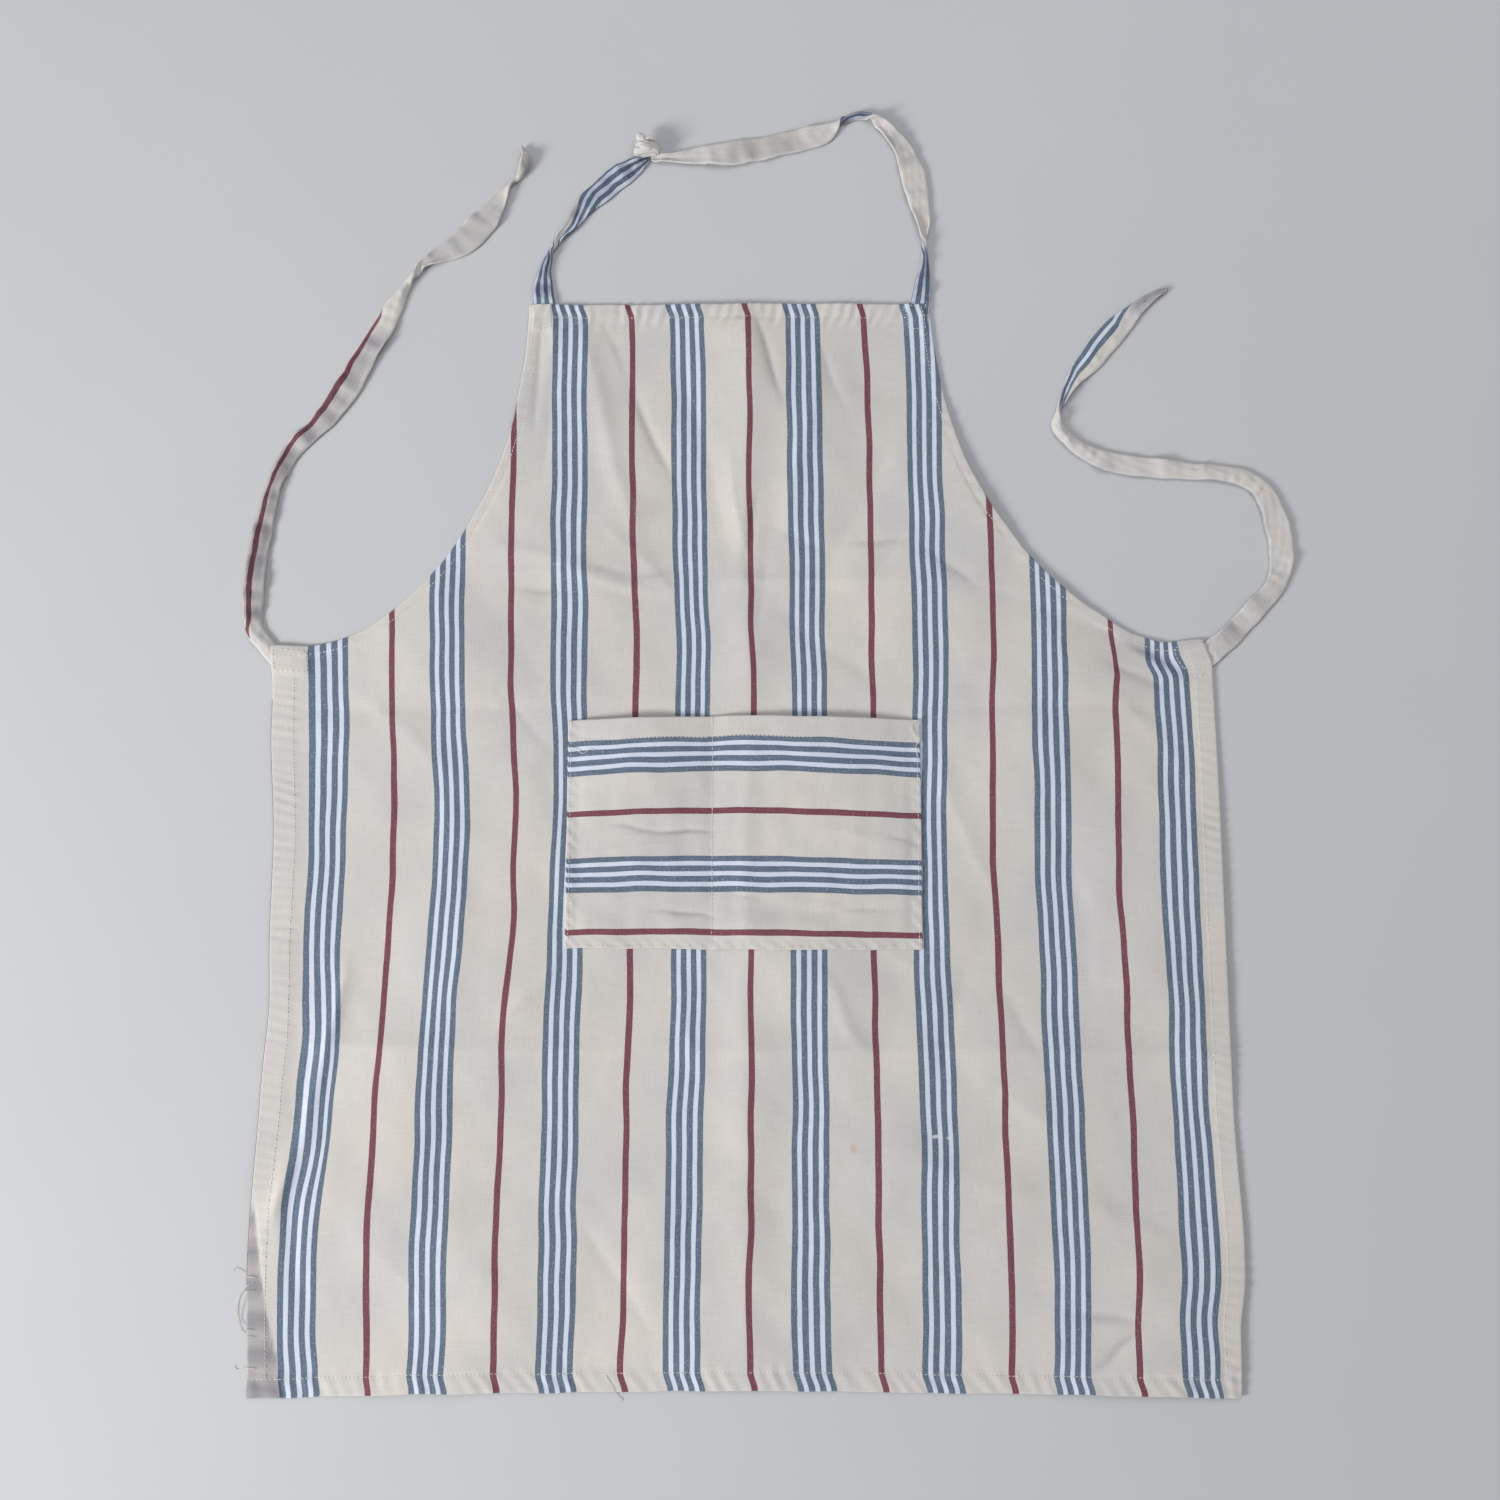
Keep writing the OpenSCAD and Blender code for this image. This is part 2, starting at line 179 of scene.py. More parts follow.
def lay(s, t):
    """Where the point s across and t up the flat cloth lies on the table."""
    # the left side is drawn in beside the pocket, less so at its very edge
    left = smooth(-s, 0.16, 0.33) * smooth(t, 0.225, 0.275) * (1 - 0.6 * smooth(-s, 0.362, 0.386))
    x = s + 9 * MM * left * bell(t - 0.43, 0.13) + 1.6 * MM * waves(s, t, 0.42, 3)
    for (ps, pt), (half_s, half_t), amount in PULLS:
        x = x + amount * MM * bell(s / MM - ps, half_s) * bell(t / MM - pt, half_t)
    inner = 1 - smooth(np.abs(s), HALF_W - 26 * MM, HALF_W - 4 * MM)
    x = x + (0.9 * waves(s, t, 0.13, 5) + 0.4 * waves(s, t, 0.06, 7)) * MM * inner
    x = x - 2.5 * MM * smooth(t, WAIST, TOP)
    # the threads run askew in the turned hems and at the right corner
    x = x + 3.6 * MM * (1 - smooth(t, 0, BOTTOM_HEM)) * inner * (0.6 + 0.4 * smooth(s, -0.38, -0.2))
    x = x - 3.2 * MM * smooth(t, TOP - TOP_HEM, TOP) * (1 - smooth(np.abs(s), 0.155, 0.172))
    x = x - 6 * MM * smooth(t, 0.564, 0.582) * smooth(s, 0.29, 0.33) * inner
    # the strap draws the right corner of the skirt in and up, and the left one up
    corner = smooth(s, 0.345, 0.385)
    x = x - 7 * MM * smooth(t, 0.568, 0.592) * corner
    x = x - 2.5 * MM * (1 - smooth(t, 0.04, 0.09)) * smooth(s, 0.36, 0.385)
    y = t + 6 * MM * (1 - smooth(t, 0, 0.25)) * (1 - (s / HALF_W) ** 2)
    y = y + 8.5 * MM * smooth(t, 0.545, 0.588) * corner
    y = y + 3.5 * MM * smooth(t, 0.555, 0.588) * smooth(-s, 0.36, 0.385)
    # hem edges are not ruled
    return x, y + (0.8 * waves(s, t, 0.3, 8) + 0.5 * waves(s, t, 0.045, 12)) * MM


CREASES = [
    # soft folds from (s, t) to (s, t), height and half width, in millimetres
    ((4, 20), (-3, 300), 1.3, 26), ((-3, 548), (4, 886), 1.6, 24), ((-140, 866), (-92, 680), 2.0, 13),
    ((-60, 860), (-20, 700), -1.4, 12), ((70, 870), (36, 690), 1.7, 13), ((120, 760), (60, 640), -1.3, 12),
    ((-210, 680), (-90, 640), 1.4, 10), ((-330, 330), (-374, 120), 2.4, 9),
    ((-372, 300), (-345, 60), -1.8, 9), ((-90, 640), (150, 655), 0.9, 9),
    ((196, 640), (330, 598), -1.1, 12), ((-60, 330), (-40, 250), 1.3, 9), ((60, 330), (96, 262), 1.3, 9),
    ((180, 330), (150, 240), -1.1, 10), ((-150, 338), (-200, 280), 1.1, 9),
    ((150, 520), (205, 380), 1.2, 11), ((250, 480), (280, 300), -1.2, 13),
    ((-250, 470), (-232, 300), 1.2, 13), ((120, 180), (330, 120), 1.1, 14),
    ((-200, 120), (-40, 180), 1.1, 14), ((-120, 700), (-40, 610), 1.0, 10),
    ((30, 620), (110, 560), -1.0, 10), ((-330, 560), (-240, 480), 1.0, 13),
    ((300, 560), (376, 470), 1.0, 12),
]

RIDGES = [
    # sharp ridges and valleys: from, to, height and how far they reach, in millimetres
    ((2, 20), (-2, 342), 1.2, 20), ((0, 545), (3, 884), 1.5, 18), ((-384, 539), (-150, 540), -1.3, 9),
    ((150, 540), (384, 543), -1.4, 9), ((-384, 268), (-20, 265), 1.6, 10),
    ((-20, 265), (384, 262), 1.7, 10), ((-215, 655), (215, 645), 0.8, 12),
    ((-125, 878), (-99, 818), -2.7, 4), ((-99, 818), (-64, 738), -2.5, 4),
    ((11, 879), (33, 806), -2.2, 4.5), ((60, 872), (84, 800), -1.2, 5), ((-20, 700), (-44, 640), -1.2, 6),
    ((140, 700), (100, 640), -1.2, 6), ((-120, 640), (-60, 622), -1.2, 5),
    ((-210, 560), (-160, 500), -1.0, 7), ((200, 330), (240, 250), -1.0, 7),
    ((-130, 130), (-70, 40), -1.0, 8), ((-14, 760), (-2, 668), 1.4, 7), ((24, 700), (8, 600), -1.0, 7),
    ((-160, 850), (-170, 740), -1.0, 5), ((250, 60), (310, 55), -2.2, 3), ((306, 50), (272, 20), -2.2, 4),
    ((300, 578), (352, 552), -2.4, 5), ((330, 590), (372, 566), 1.6, 5), ((108, 350), (150, 320), 0.9, 6),
    ((-171, 886), (-178, 780), -1.8, 4), ((-160, 884), (-164, 836), 1.4, 4),
    ((-166, 886), (-168, 860), -1.6, 3), ((170, 884), (168, 820), -1.2, 4),
    ((-30, 338), (-70, 305), 0.9, 6), ((-300, 120), (-240, 60), 0.7, 9), ((60, 120), (30, 30), 0.7, 9),
    ((180, 250), (260, 190), 0.8, 9), ((-122, 659), (-98, 651), -2.2, 4), ((-98, 651), (-62, 655), -2.2, 4),
    ((-187, 639), (-150, 637), -2.2, 5), ((92, 680), (135, 682), -2.2, 4), ((36, 686), (64, 671), -2.2, 4),
    ((155, 671), (188, 646), -2.2, 5), ((10, 715), (0, 668), -2.2, 4), ((0, 668), (6, 640), -2.2, 4),
]

# Edge of the turned side hem where it shows at the lower left corner
WEDGE = [(-384, 158), (-377, 112), (-371, 66), (-360, 14)]

RIDGE_SWAY = 0.6 * MM  # how far a ridge's line wanders from straight


def line_place(s, t, start, end, sway):
    """Distance across a line that sways a little, and a share that fades out at its ends."""
    ax, ay, bx, by = (v * MM for v in start + end)
    dx, dy = bx - ax, by - ay
    length = math.hypot(dx, dy)
    along = ((s - ax) * dx + (t - ay) * dy) / length
    across = ((t - ay) * dx - (s - ax) * dy) / length
    across = across + sway * np.sin(along / length * 8.2 + length / (9 * MM))
    return across, between(along, -0.02, 0.03, length - 0.03, length + 0.02)


def crease(s, t, start, end, height, half):
    """Soft ridge or valley along a line."""
    across, fade = line_place(s, t, start, end, 2 * MM)
    return height * MM * fade / (1 + (across / (half * MM)) ** 2 * 2.2)


def ridge(s, t, start, end, height, reach):
    """Ridge or valley with a sharp line along its middle."""
    across, fade = line_place(s, t, start, end, RIDGE_SWAY)
    return height * MM * fade * np.exp(-np.sqrt(across ** 2 + (0.7 * MM) ** 2) / (reach * MM))


def valley_shade(s, t, lines, depth, half):
    """Painted shade along those of the ridges that are valleys deeper than depth: how dark their shadow is
    made.
    """
    total = 0 * s
    for start, end, height, _ in lines:
        if height < -depth:
            across, fade = line_place(s, t, start, end, RIDGE_SWAY)
            total = np.maximum(total, fade * bell(across, half))
    return total


def wedge(s, t):
    """1 outside the edge of the turned hem at the lower left corner, 0 elsewhere."""
    edge_s, edge_t = np.array(WEDGE[::-1]).T * MM
    return smooth(np.interp(t, edge_t, edge_s) - s, -0.6 * MM, 1.4 * MM) * (1 - smooth(t, 0.128, 0.158))


def hem_share(s, t):
    """1 on the turned hems, 0 away from them."""
    bottom = 1 - smooth(t, BOTTOM_HEM - 1 * MM, BOTTOM_HEM + 3 * MM)
    sides = smooth(np.abs(s), HALF_W - SIDE_HEM - 6 * MM, HALF_W - SIDE_HEM + 2 * MM)
    sides = sides * (1 - smooth(t, WAIST, WAIST + 6 * MM))
    top = smooth(t, TOP - TOP_HEM - 3 * MM, TOP - TOP_HEM + 1 * MM)
    arms = 1 - smooth(armhole_distance(s, t), ARMHOLE_HEM - 1 * MM, ARMHOLE_HEM + 3 * MM)
    return np.maximum.reduce([bottom, sides, top, arms])


def puckers(s, t):
    """Little ridges across the hems, drawn up by their stitching."""
    bottom = 1 - smooth(t, 0.7 * BOTTOM_HEM, 1.6 * BOTTOM_HEM)
    top = smooth(t, TOP - 2.2 * TOP_HEM, TOP - 0.8 * TOP_HEM)
    sides = smooth(np.abs(s), HALF_W - 1.5 * SIDE_HEM, HALF_W - 0.7 * SIDE_HEM) * (t < WAIST)
    arms = (1 - smooth(armhole_distance(s, t), 0.8 * ARMHOLE_HEM, 2.2 * ARMHOLE_HEM)) * (t > WAIST)
    drift = 3 * waves(s, t, 0.09, 5)
    total = 0
    for share, place, length in (
        (0.42 * bottom, s + 0.35 * t, 12.7 * MM),
        (0.6 * top, s - 0.5 * t, 10.4 * MM),
        (0.36 * sides, t + 0.2 * s, 8.7 * MM),
        (0.32 * arms, t + 0.4 * np.abs(s), 11.3 * MM),
    ):
        total = total + share * np.sin(2 * math.pi * place / length + drift)
    return total * MM * (0.55 + 0.5 * waves(s, t, 0.045, 11))


def over_box(s, t, box, inside, outside):
    """1 over a box in plan, fading from inside it to outside it."""
    (x0, y0, _), (x1, y1, _) = box
    across = between(s, x0 - outside, x0 + inside, x1 - inside, x1 + outside)
    return across * between(t, y0 - outside, y0 + inside, y1 - inside, y1 + outside)


def cloth_z(s, t):
    """Height of the top of the main cloth."""
    roll = 2.6 * waves(s, t, 0.26, 1) + 1.2 * waves(s, t, 0.12, 2)
    roll = (roll + 0.45 * waves(s, t, 0.055, 13) + 0.12 * waves(s, t, 0.03, 4)) * MM
    for fold in CREASES:
        roll = roll + crease(s, t, *fold)
    for fold in RIDGES:
        roll = roll + ridge(s, t, *fold)
    # the pocket holds the cloth flat, and the cloth never goes below the table
    roll = (roll + 1.6 * MM) * (1 - 0.75 * over_box(s, t, POCKET, 0, 20 * MM))
    hem = hem_share(s, t)
    lift = np.logaddexp(0, 3 * roll / MM) * MM / 3 * (1 - 0.35 * hem) * (1 - 0.7 * wedge(s, t))
    # it is raised over the ends of the straps that are sewn behind it
    ends = [over_box(s, t, box, 3 * MM, 3 * MM) for box in (*TIE_ENDS.values(), *NECK_ENDS.values())]
    lump = 0.8 * STRAP_T * np.maximum.reduce(ends)
    return FIELD_Z + (HEM_H - FIELD_Z) * hem + lift + puckers(s, t) + lump - seam_groove(s, t)


def seam_groove(s, t):
    """How far the stitching pulls the cloth down."""
    skirt = t < WAIST
    half = 1.3 * MM
    side = 0.35 * bell(np.abs(s) - HALF_W + SIDE_HEM + 1 * MM, half) * skirt
    bottom = bell(BOTTOM_HEM - t - 1 * MM, half)
    top = bell(t - TOP + TOP_HEM - 1 * MM, half)
    arm = 0.5 * bell(ARMHOLE_HEM - armhole_distance(s, t) - 1 * MM, half) * (1 - skirt)
    return 0.32 * MM * np.maximum.reduce([side, bottom, top, arm])


def cloth_shade(s, t):
    """Painted shade on the cloth: the shadowed folds at two corners of the skirt, and shadows along the
    deepest creases.
    """
    # painted shadow along the fold at the right corner of the skirt
    across, share = line_place(s, t, (318, 600), (366, 566), 1 * MM)
    fold = 0.75 * share * bell(across, 4.5 * MM)
    # painted shadow on the turned hem at the lower left corner, in bands
    corner = 0.85 * wedge(s, t) * (0.8 + 0.2 * np.sin(t / (4.1 * MM)))
    return np.maximum.reduce([corner, fold, 0.3 * valley_shade(s, t, RIDGES, 2.1, 3 * MM)])


def on_cloth(s, t, up=0.0):
    """Points on the cloth as an array, raised by up."""
    x, y = lay(s, t)
    return np.stack([x, y, cloth_z(s, t) + up], axis=-1)


# ---- Mesh helpers ----

# Section of a rolled rim: how far out and how far down, as shares
RIM = ((0.5, 0.07), (0.87, 0.25), (1.0, 0.5), (0.87, 0.75), (0.5, 0.93), (0.0, 1.0))


def new_mesh(name, points, faces, weave, material):
    """Smooth mesh object whose weave attribute holds its place on the flat cloth, and in its third part how
    much painted shade it has.
    """
    mesh = bpy.data.meshes.new(name)
    mesh.from_pydata([tuple(p) for p in points], [], faces)
    mesh.validate()
    layer = mesh.attributes.new("weave", "FLOAT_VECTOR", "POINT")
    flat = np.zeros((len(points), 3), np.float32)
    flat[:, : weave.shape[1]] = weave
    layer.data.foreach_set("vector", flat.ravel())
    mesh.materials.append(material)
    mesh.polygons.foreach_set("use_smooth", [True] * len(mesh.polygons))
    mesh.update()
    piece = bpy.data.objects.new(name, mesh)
    bpy.context.scene.collection.objects.link(piece)
    return piece


def grid_faces(rows, cols):
    """Quads of a grid whose points run along each row."""
    corners = [r * cols + c for r in range(rows - 1) for c in range(cols - 1)]
    return [(a, a + 1, a + cols + 1, a + cols) for a in corners]


def tube_faces(rows, sides, loop=False):
    """Faces of a tube with sides points in each ring, and its ends unless it is a loop."""
    faces = []
    for r in range(rows if loop else rows - 1):
        here, there = r * sides, (r + 1) % rows * sides
        for a in range(sides):
            b = (a + 1) % sides
            faces.append((here + a, here + b, there + b, there + a))
    if not loop:
        faces.append(tuple(range(sides))[::-1])
        faces.append(tuple(range((rows - 1) * sides, rows * sides)))
    return faces


def joined(parts):
    """Points and faces of several parts as one."""
    faces, first = [], 0
    for points, part_faces in parts:
        faces.extend(tuple(first + v for v in face) for face in part_faces)
        first += len(points)
    return np.concatenate([points for points, _ in parts]), faces


def unit(vectors):
    """Vectors scaled to length 1."""
    return vectors / np.linalg.norm(vectors, axis=-1, keepdims=True)


def rim_pairs(faces):
    """Edges of the outline of a patch of faces, each in its own face's direction."""
    used = {(a, b) for face in faces for a, b in zip(face, face[1:] + face[:1])}
    return sorted((a, b) for a, b in used if (b, a) not in used)


def red_reach(weave):
    """How far the weave runs on round the rim: further on the left edge, which is folded on a red line."""
    left = (weave[:, 0] < -HALF_W + 3 * MM) * between(weave[:, 1], 0.06, 0.09, 0.54, 0.565)
    return (1.2 + 9.6 * left) * MM


def closed_sheet(name, top, bottom, faces, weave, material, bead=0.0):
    """Closed thin solid between two surfaces with the same faces, with a rolled rim.

    The rim stands out by bead, and goes down by up to twice that, like a folded edge."""
    count = len(top)
    rim = rim_pairs(faces)
    under = [tuple(count + v for v in reversed(face)) for face in faces]
    points, flats = [top, bottom], [weave, weave]
    edge = sorted({a for a, _ in rim})
    place = {v: k for k, v in enumerate(edge)}
    rings = [edge]
    if bead:
        outward = np.zeros((len(edge), 2))
        for a, b in rim:
            dx, dy = top[b, :2] - top[a, :2]
            outward[place[a]] += (dy, -dx)
            outward[place[b]] += (dy, -dx)
        outward = unit(outward)
        deep = np.minimum(1.9 * bead, top[edge, 2] - OVER_FLOOR)
        reach = red_reach(weave[edge])
        for out, down in RIM:
            level, flat = top[edge], weave[edge]
            level[:, :2] += outward * out * bead
            level[:, 2] -= down * deep
            flat[:, :2] += outward * np.minimum(26 * (out + down) * bead, reach)[:, None]
            first = sum(len(part) for part in points)
            points.append(level)
            flats.append(flat)
            rings.append(range(first, first + len(edge)))
    rings.append([count + v for v in edge])
    sides = [
        (upper[place[b]], upper[place[a]], lower[place[a]], lower[place[b]])
        for upper, lower in zip(rings[:-1], rings[1:])
        for a, b in rim
    ]
    return new_mesh(name, np.concatenate(points), faces + under + sides, np.concatenate(flats), material)


def spread(stops):
    """Numbers from the first stop to the last, with its own step on each stretch."""
    values = [stops[0][0]]
    for (low, step), (high, _) in zip(stops[:-1], stops[1:]):
        n = max(1, round((high - low) / step))
        values.extend(low + (high - low) * (k + 1) / n for k in range(n))
    return np.array(values)


# ---- Materials ----

STRIPE_PERIOD = 100 * MM
BLUE_CENTRE = -48.2 * MM
RED_OFFSET = 52.7 * MM
LINE_PITCH = 8.4 * MM
WHITE_HALF = 1.8 * MM
GROUP_HALF = 14.8 * MM
RED_HALF = 2.5 * MM
SOFT_EDGE = 0.25 * MM

CREAM = (0.565, 0.542, 0.515)
BLUE = (0.064, 0.100, 0.150)
WHITE = (0.578, 0.625, 0.712)
RED = (0.150, 0.028, 0.048)

MARKS = [
    # stain and pale specks on the skirt: place, half size, colour and strength
    ((0.085, 0.187, 0), (0.004, 0.0045, 1), (0.52, 0.30, 0.17), 0.5),
    ((0.148, 0.197, 0), (0.0045, 0.002, 1), (0.66, 0.67, 0.70), 0.8),
    ((0.159, 0.196, 0), (0.003, 0.0016, 1), (0.66, 0.67, 0.70), 0.7),
    ((-0.08, 0.71, 0), (0.02, 0.016, 1), (0.50, 0.45, 0.36), 0.35),
    ((-0.015, 0.87, 0), (0.012, 0.006, 1), (0.50, 0.46, 0.38), 0.35),
]
SHADOW = (0.40, 0.40, 0.46)  # painted shade: colour of a fully shaded place, over its own colour


class Nodes:
    """Short way to write a material's nodes."""

    def __init__(self, name):
        self.material = bpy.data.materials.new(name)
        self.material.use_nodes = True
        self.tree = self.material.node_tree
        self.tree.nodes.clear()

    def add(self, kind, values=(), **settings):
        """New node with its first inputs set or linked."""
        node = self.tree.nodes.new("ShaderNode" + kind)
        for key, value in settings.items():
            setattr(node, key, value)
        for socket, value in zip(node.inputs, values):
            self.put(socket, value)
        return node

    def put(self, socket, value):
        if isinstance(value, bpy.types.NodeSocket):
            self.tree.links.new(value, socket)
        else:
            socket.default_value = value

    def math(self, operation, *values):
        return self.add("Math", values, operation=operation).outputs[0]

    def vector(self, operation, *values):
        return self.add("VectorMath", values, operation=operation)

    def step(self, value, low, high, first=0.0, last=1.0):
        node = self.add("MapRange", (value, low, high, first, last), interpolation_type="SMOOTHSTEP")
        return node.outputs["Result"]

    def mix(self, share, a, b, blend="MIX"):
        node = self.add("Mix", data_type="RGBA", blend_type=blend)
        for key, value in (("Factor", share), ("A", a), ("B", b)):
            self.put(node.inputs[key], (*value, 1) if isinstance(value, tuple) else value)
        return node.outputs["Result"]

    def noise(self, place, scale, detail=2.0, rough=0.5):
        node = self.add("TexNoise")
        for key, value in (("Vector", place), ("Scale", scale), ("Detail", detail), ("Roughness", rough)):
            self.put(node.inputs[key], value)
        return node.outputs["Fac"]

    def grain(self, place, across, along, detail=2.0, rough=0.5):
        """Noise with its own scale in each direction of the weave."""
        stretched = self.vector("MULTIPLY", place, (across, along, 1)).outputs[0]
        return self.noise(stretched, 1.0, detail, rough)

    def spot(self, place, centre, size, strength):
        """Share of a soft blotch of the given half size."""
        offset = self.vector("SUBTRACT", place, centre).outputs[0]
        offset = self.vector("DIVIDE", offset, size).outputs[0]
        length = self.vector("LENGTH", offset).outputs["Value"]
        ragged = self.math("MULTIPLY_ADD", self.noise(place, 330, 3), 0.9, length)
        return self.step(ragged, 0.7, 1.5, strength, 0.0)

    def near(self, value, centre, period):
        """Distance of value from the nearest of the places that repeat every period."""
        shifted = self.math("SUBTRACT", value, centre - period / 2)
        wrapped = self.math("WRAP", shifted, period, 0.0)
        return self.math("ABSOLUTE", self.math("SUBTRACT", wrapped, period / 2))

    def line(self, distance, half):
        """1 within half of a line, with a soft edge."""
        return self.step(distance, half - SOFT_EDGE, half + SOFT_EDGE, 1.0, 0.0)

    def finish(self, colour, roughness, relief=None, **fixed):
        """Shader with a colour, roughness, relief (height, strength, depth) and fixed values."""
        shader = self.add("BsdfPrincipled")
        self.put(shader.inputs["Base Color"], colour)
        self.put(shader.inputs["Roughness"], roughness)
        for key, value in fixed.items():
            shader.inputs[key.replace("_", " ")].default_value = value
        if relief:
            bump = self.add("Bump")
            for key, value in zip(("Height", "Strength", "Distance"), relief):
                self.put(bump.inputs[key], value)
            self.put(shader.inputs["Normal"], bump.outputs[0])
        self.add("OutputMaterial", (shader.outputs[0],))
        return self.material


def tinted(colour, *shares):
    """Colour times one share, or times a share for each channel."""
    return tuple(c * k for c, k in zip(colour, shares * 3 if len(shares) == 1 else shares))


def twill(name, red_offset=RED_OFFSET, spots=()):
    """Cotton twill: cream ground, groups of blue and white lines, single red lines, darkened by painted shade
    where the weave attribute's third part says.
    """
    n = Nodes(name)
    place = n.add("Attribute", attribute_name="weave").outputs["Vector"]
    # the weave attribute's third part is the share of painted shade
    across, along, painted_shade = n.add("SeparateXYZ", (place,)).outputs
    # single warp threads wander a little, so line edges are not ruled
    wander = n.math("SUBTRACT", n.grain(place, 260, 90), 0.5)
    across = n.math("MULTIPLY_ADD", wander, 0.55 * MM, across)

    blue_near = n.near(across, BLUE_CENTRE, STRIPE_PERIOD)
    group = n.line(blue_near, GROUP_HALF)
    white = n.line(n.near(blue_near, 0.0, LINE_PITCH), WHITE_HALF)
    red = n.line(n.near(across, BLUE_CENTRE + red_offset, STRIPE_PERIOD), RED_HALF)

    # twill lines, broken up so that they are not ruled either
    sway = n.math("MULTIPLY", n.grain(place, 300, 300, 3), 0.9 * MM)
    diagonal = n.math("ADD", n.math("ADD", across, along), sway)
    rib = n.math("SINE", n.math("MULTIPLY", diagonal, 2 * math.pi / (0.85 * MM)))
    warp = n.grain(place, 1500, 60)
    weft = n.grain(place, 60, 1500)
    fleck = n.grain(place, 1250, 420, 3, 0.7)
    pick = n.grain(place, 420, 620, 2, 0.6)
    patch = n.grain(place, 9, 9, 4, 0.55)

    # ground: slightly warm and cool patches, thread by thread variation
    cool = tinted(CREAM, 0.94, 0.95, 0.98)
    base = n.mix(n.step(patch, 0.3, 0.7), cool, tinted(CREAM, 1.05, 1.02, 0.97))
    slub = n.step(weft, 0.25, 0.75, 0.955, 1.035)
    slub = n.math("MULTIPLY", slub, n.step(warp, 0.25, 0.75, 0.965, 1.03))
    dye = n.step(warp, 0.2, 0.8)
    blue = n.mix(dye, tinted(BLUE, 0.80), tinted(BLUE, 1.22))
    red_dye = n.mix(dye, tinted(RED, 0.85), tinted(RED, 1.2))
    # the pale weft shows between dyed warp threads
    show = n.math("MULTIPLY", n.step(rib, 0.1, 1.0), 0.26)
    show = n.math("MULTIPLY_ADD", n.step(fleck, 0.56, 0.72), 0.45, show)
    show = n.math("MULTIPLY_ADD", n.step(pick, 0.55, 0.7), 0.16, show)
    lines = n.mix(white, n.mix(show, blue, WHITE), WHITE)
    base = n.mix(group, base, lines)
    base = n.mix(red, base, n.mix(n.math("MULTIPLY", show, 0.6), red_dye, CREAM))
    for centre, size, tint, strength in spots:
        base = n.mix(n.spot(place, centre, size, strength), base, tint)
    shade = n.add("CombineXYZ", (slub, slub, slub))
    colour = n.mix(1.0, base, shade.outputs[0], "MULTIPLY")
    # painted shade: the colour is darkened towards SHADOW by that share
    colour = n.mix(painted_shade, colour, n.mix(1.0, colour, SHADOW, "MULTIPLY"))

    height = n.math("MULTIPLY_ADD", warp, 0.9, n.math("MULTIPLY", rib, 0.5))
    height = n.math("MULTIPLY_ADD", weft, 0.9, height)
    roughness = n.step(fleck, 0.3, 0.7, 0.78, 0.92)
    relief = (height, 0.35, 0.12 * MM)
    sheen = {"Sheen_Weight": 0.12, "Sheen_Roughness": 0.5}
    return n.finish(colour, roughness, relief, Specular_IOR_Level=0.25, **sheen)


def thread_material():
    """Cotton sewing thread with a fine ply."""
    n = Nodes("sewing_thread")
    place = n.add("TexCoord").outputs["Object"]
    ply = n.noise(place, 2600)
    colour = n.mix(n.step(n.noise(place, 40), 0.3, 0.7), (0.58, 0.54, 0.46), (0.72, 0.69, 0.62))
    return n.finish(colour, n.step(ply, 0.3, 0.7, 0.6, 0.8), (ply, 0.4, 0.1 * MM))


def floor_material():
    """Plain pale matt floor."""
    n = Nodes("pale_floor")
    place = n.add("TexCoord").outputs["Object"]
    colour = n.mix(n.noise(place, 6), (0.50, 0.507, 0.52), (0.52, 0.527, 0.54))
    return n.finish(colour, 0.9, Specular_IOR_Level=0.1)


# ---- Camera, light and floor ----

CAMERA_TILT = math.radians(8)
CAMERA_DISTANCE = 1.229
AIM = (4 * MM, 506 * MM)
MIDDLE = (0, WAIST * 0.9, 0)  # of the apron, which the lights face
FLOOR_HALF = 6.0


def placed(name, data, location):
    """New object with its data, in the scene."""
    piece = bpy.data.objects.new(name, data)
    piece.location = location
    bpy.context.scene.collection.objects.link(piece)
    return piece


def add_camera():
    """Camera over the middle of the laid apron, tilted towards the bib."""
    data = bpy.data.cameras.new("camera")
    data.sensor_width = 36
    data.lens = 36
    back = CAMERA_DISTANCE * math.sin(CAMERA_TILT)
    camera = placed("camera", data, (AIM[0], AIM[1] - back, CAMERA_DISTANCE * math.cos(CAMERA_TILT)))
    camera.rotation_euler = (CAMERA_TILT, 0, 0)
    bpy.context.scene.camera = camera


def add_light(name, place, size, power, tint):
    """Round soft light that faces the middle of the apron."""
    data = bpy.data.lights.new(name, "AREA")
    data.shape = "DISK"
    data.size = size
    data.energy = power
    data.color = tint
    light = placed(name, data, place)
    light.rotation_euler = (Vector(MIDDLE) - Vector(place)).to_track_quat("-Z", "Y").to_euler()


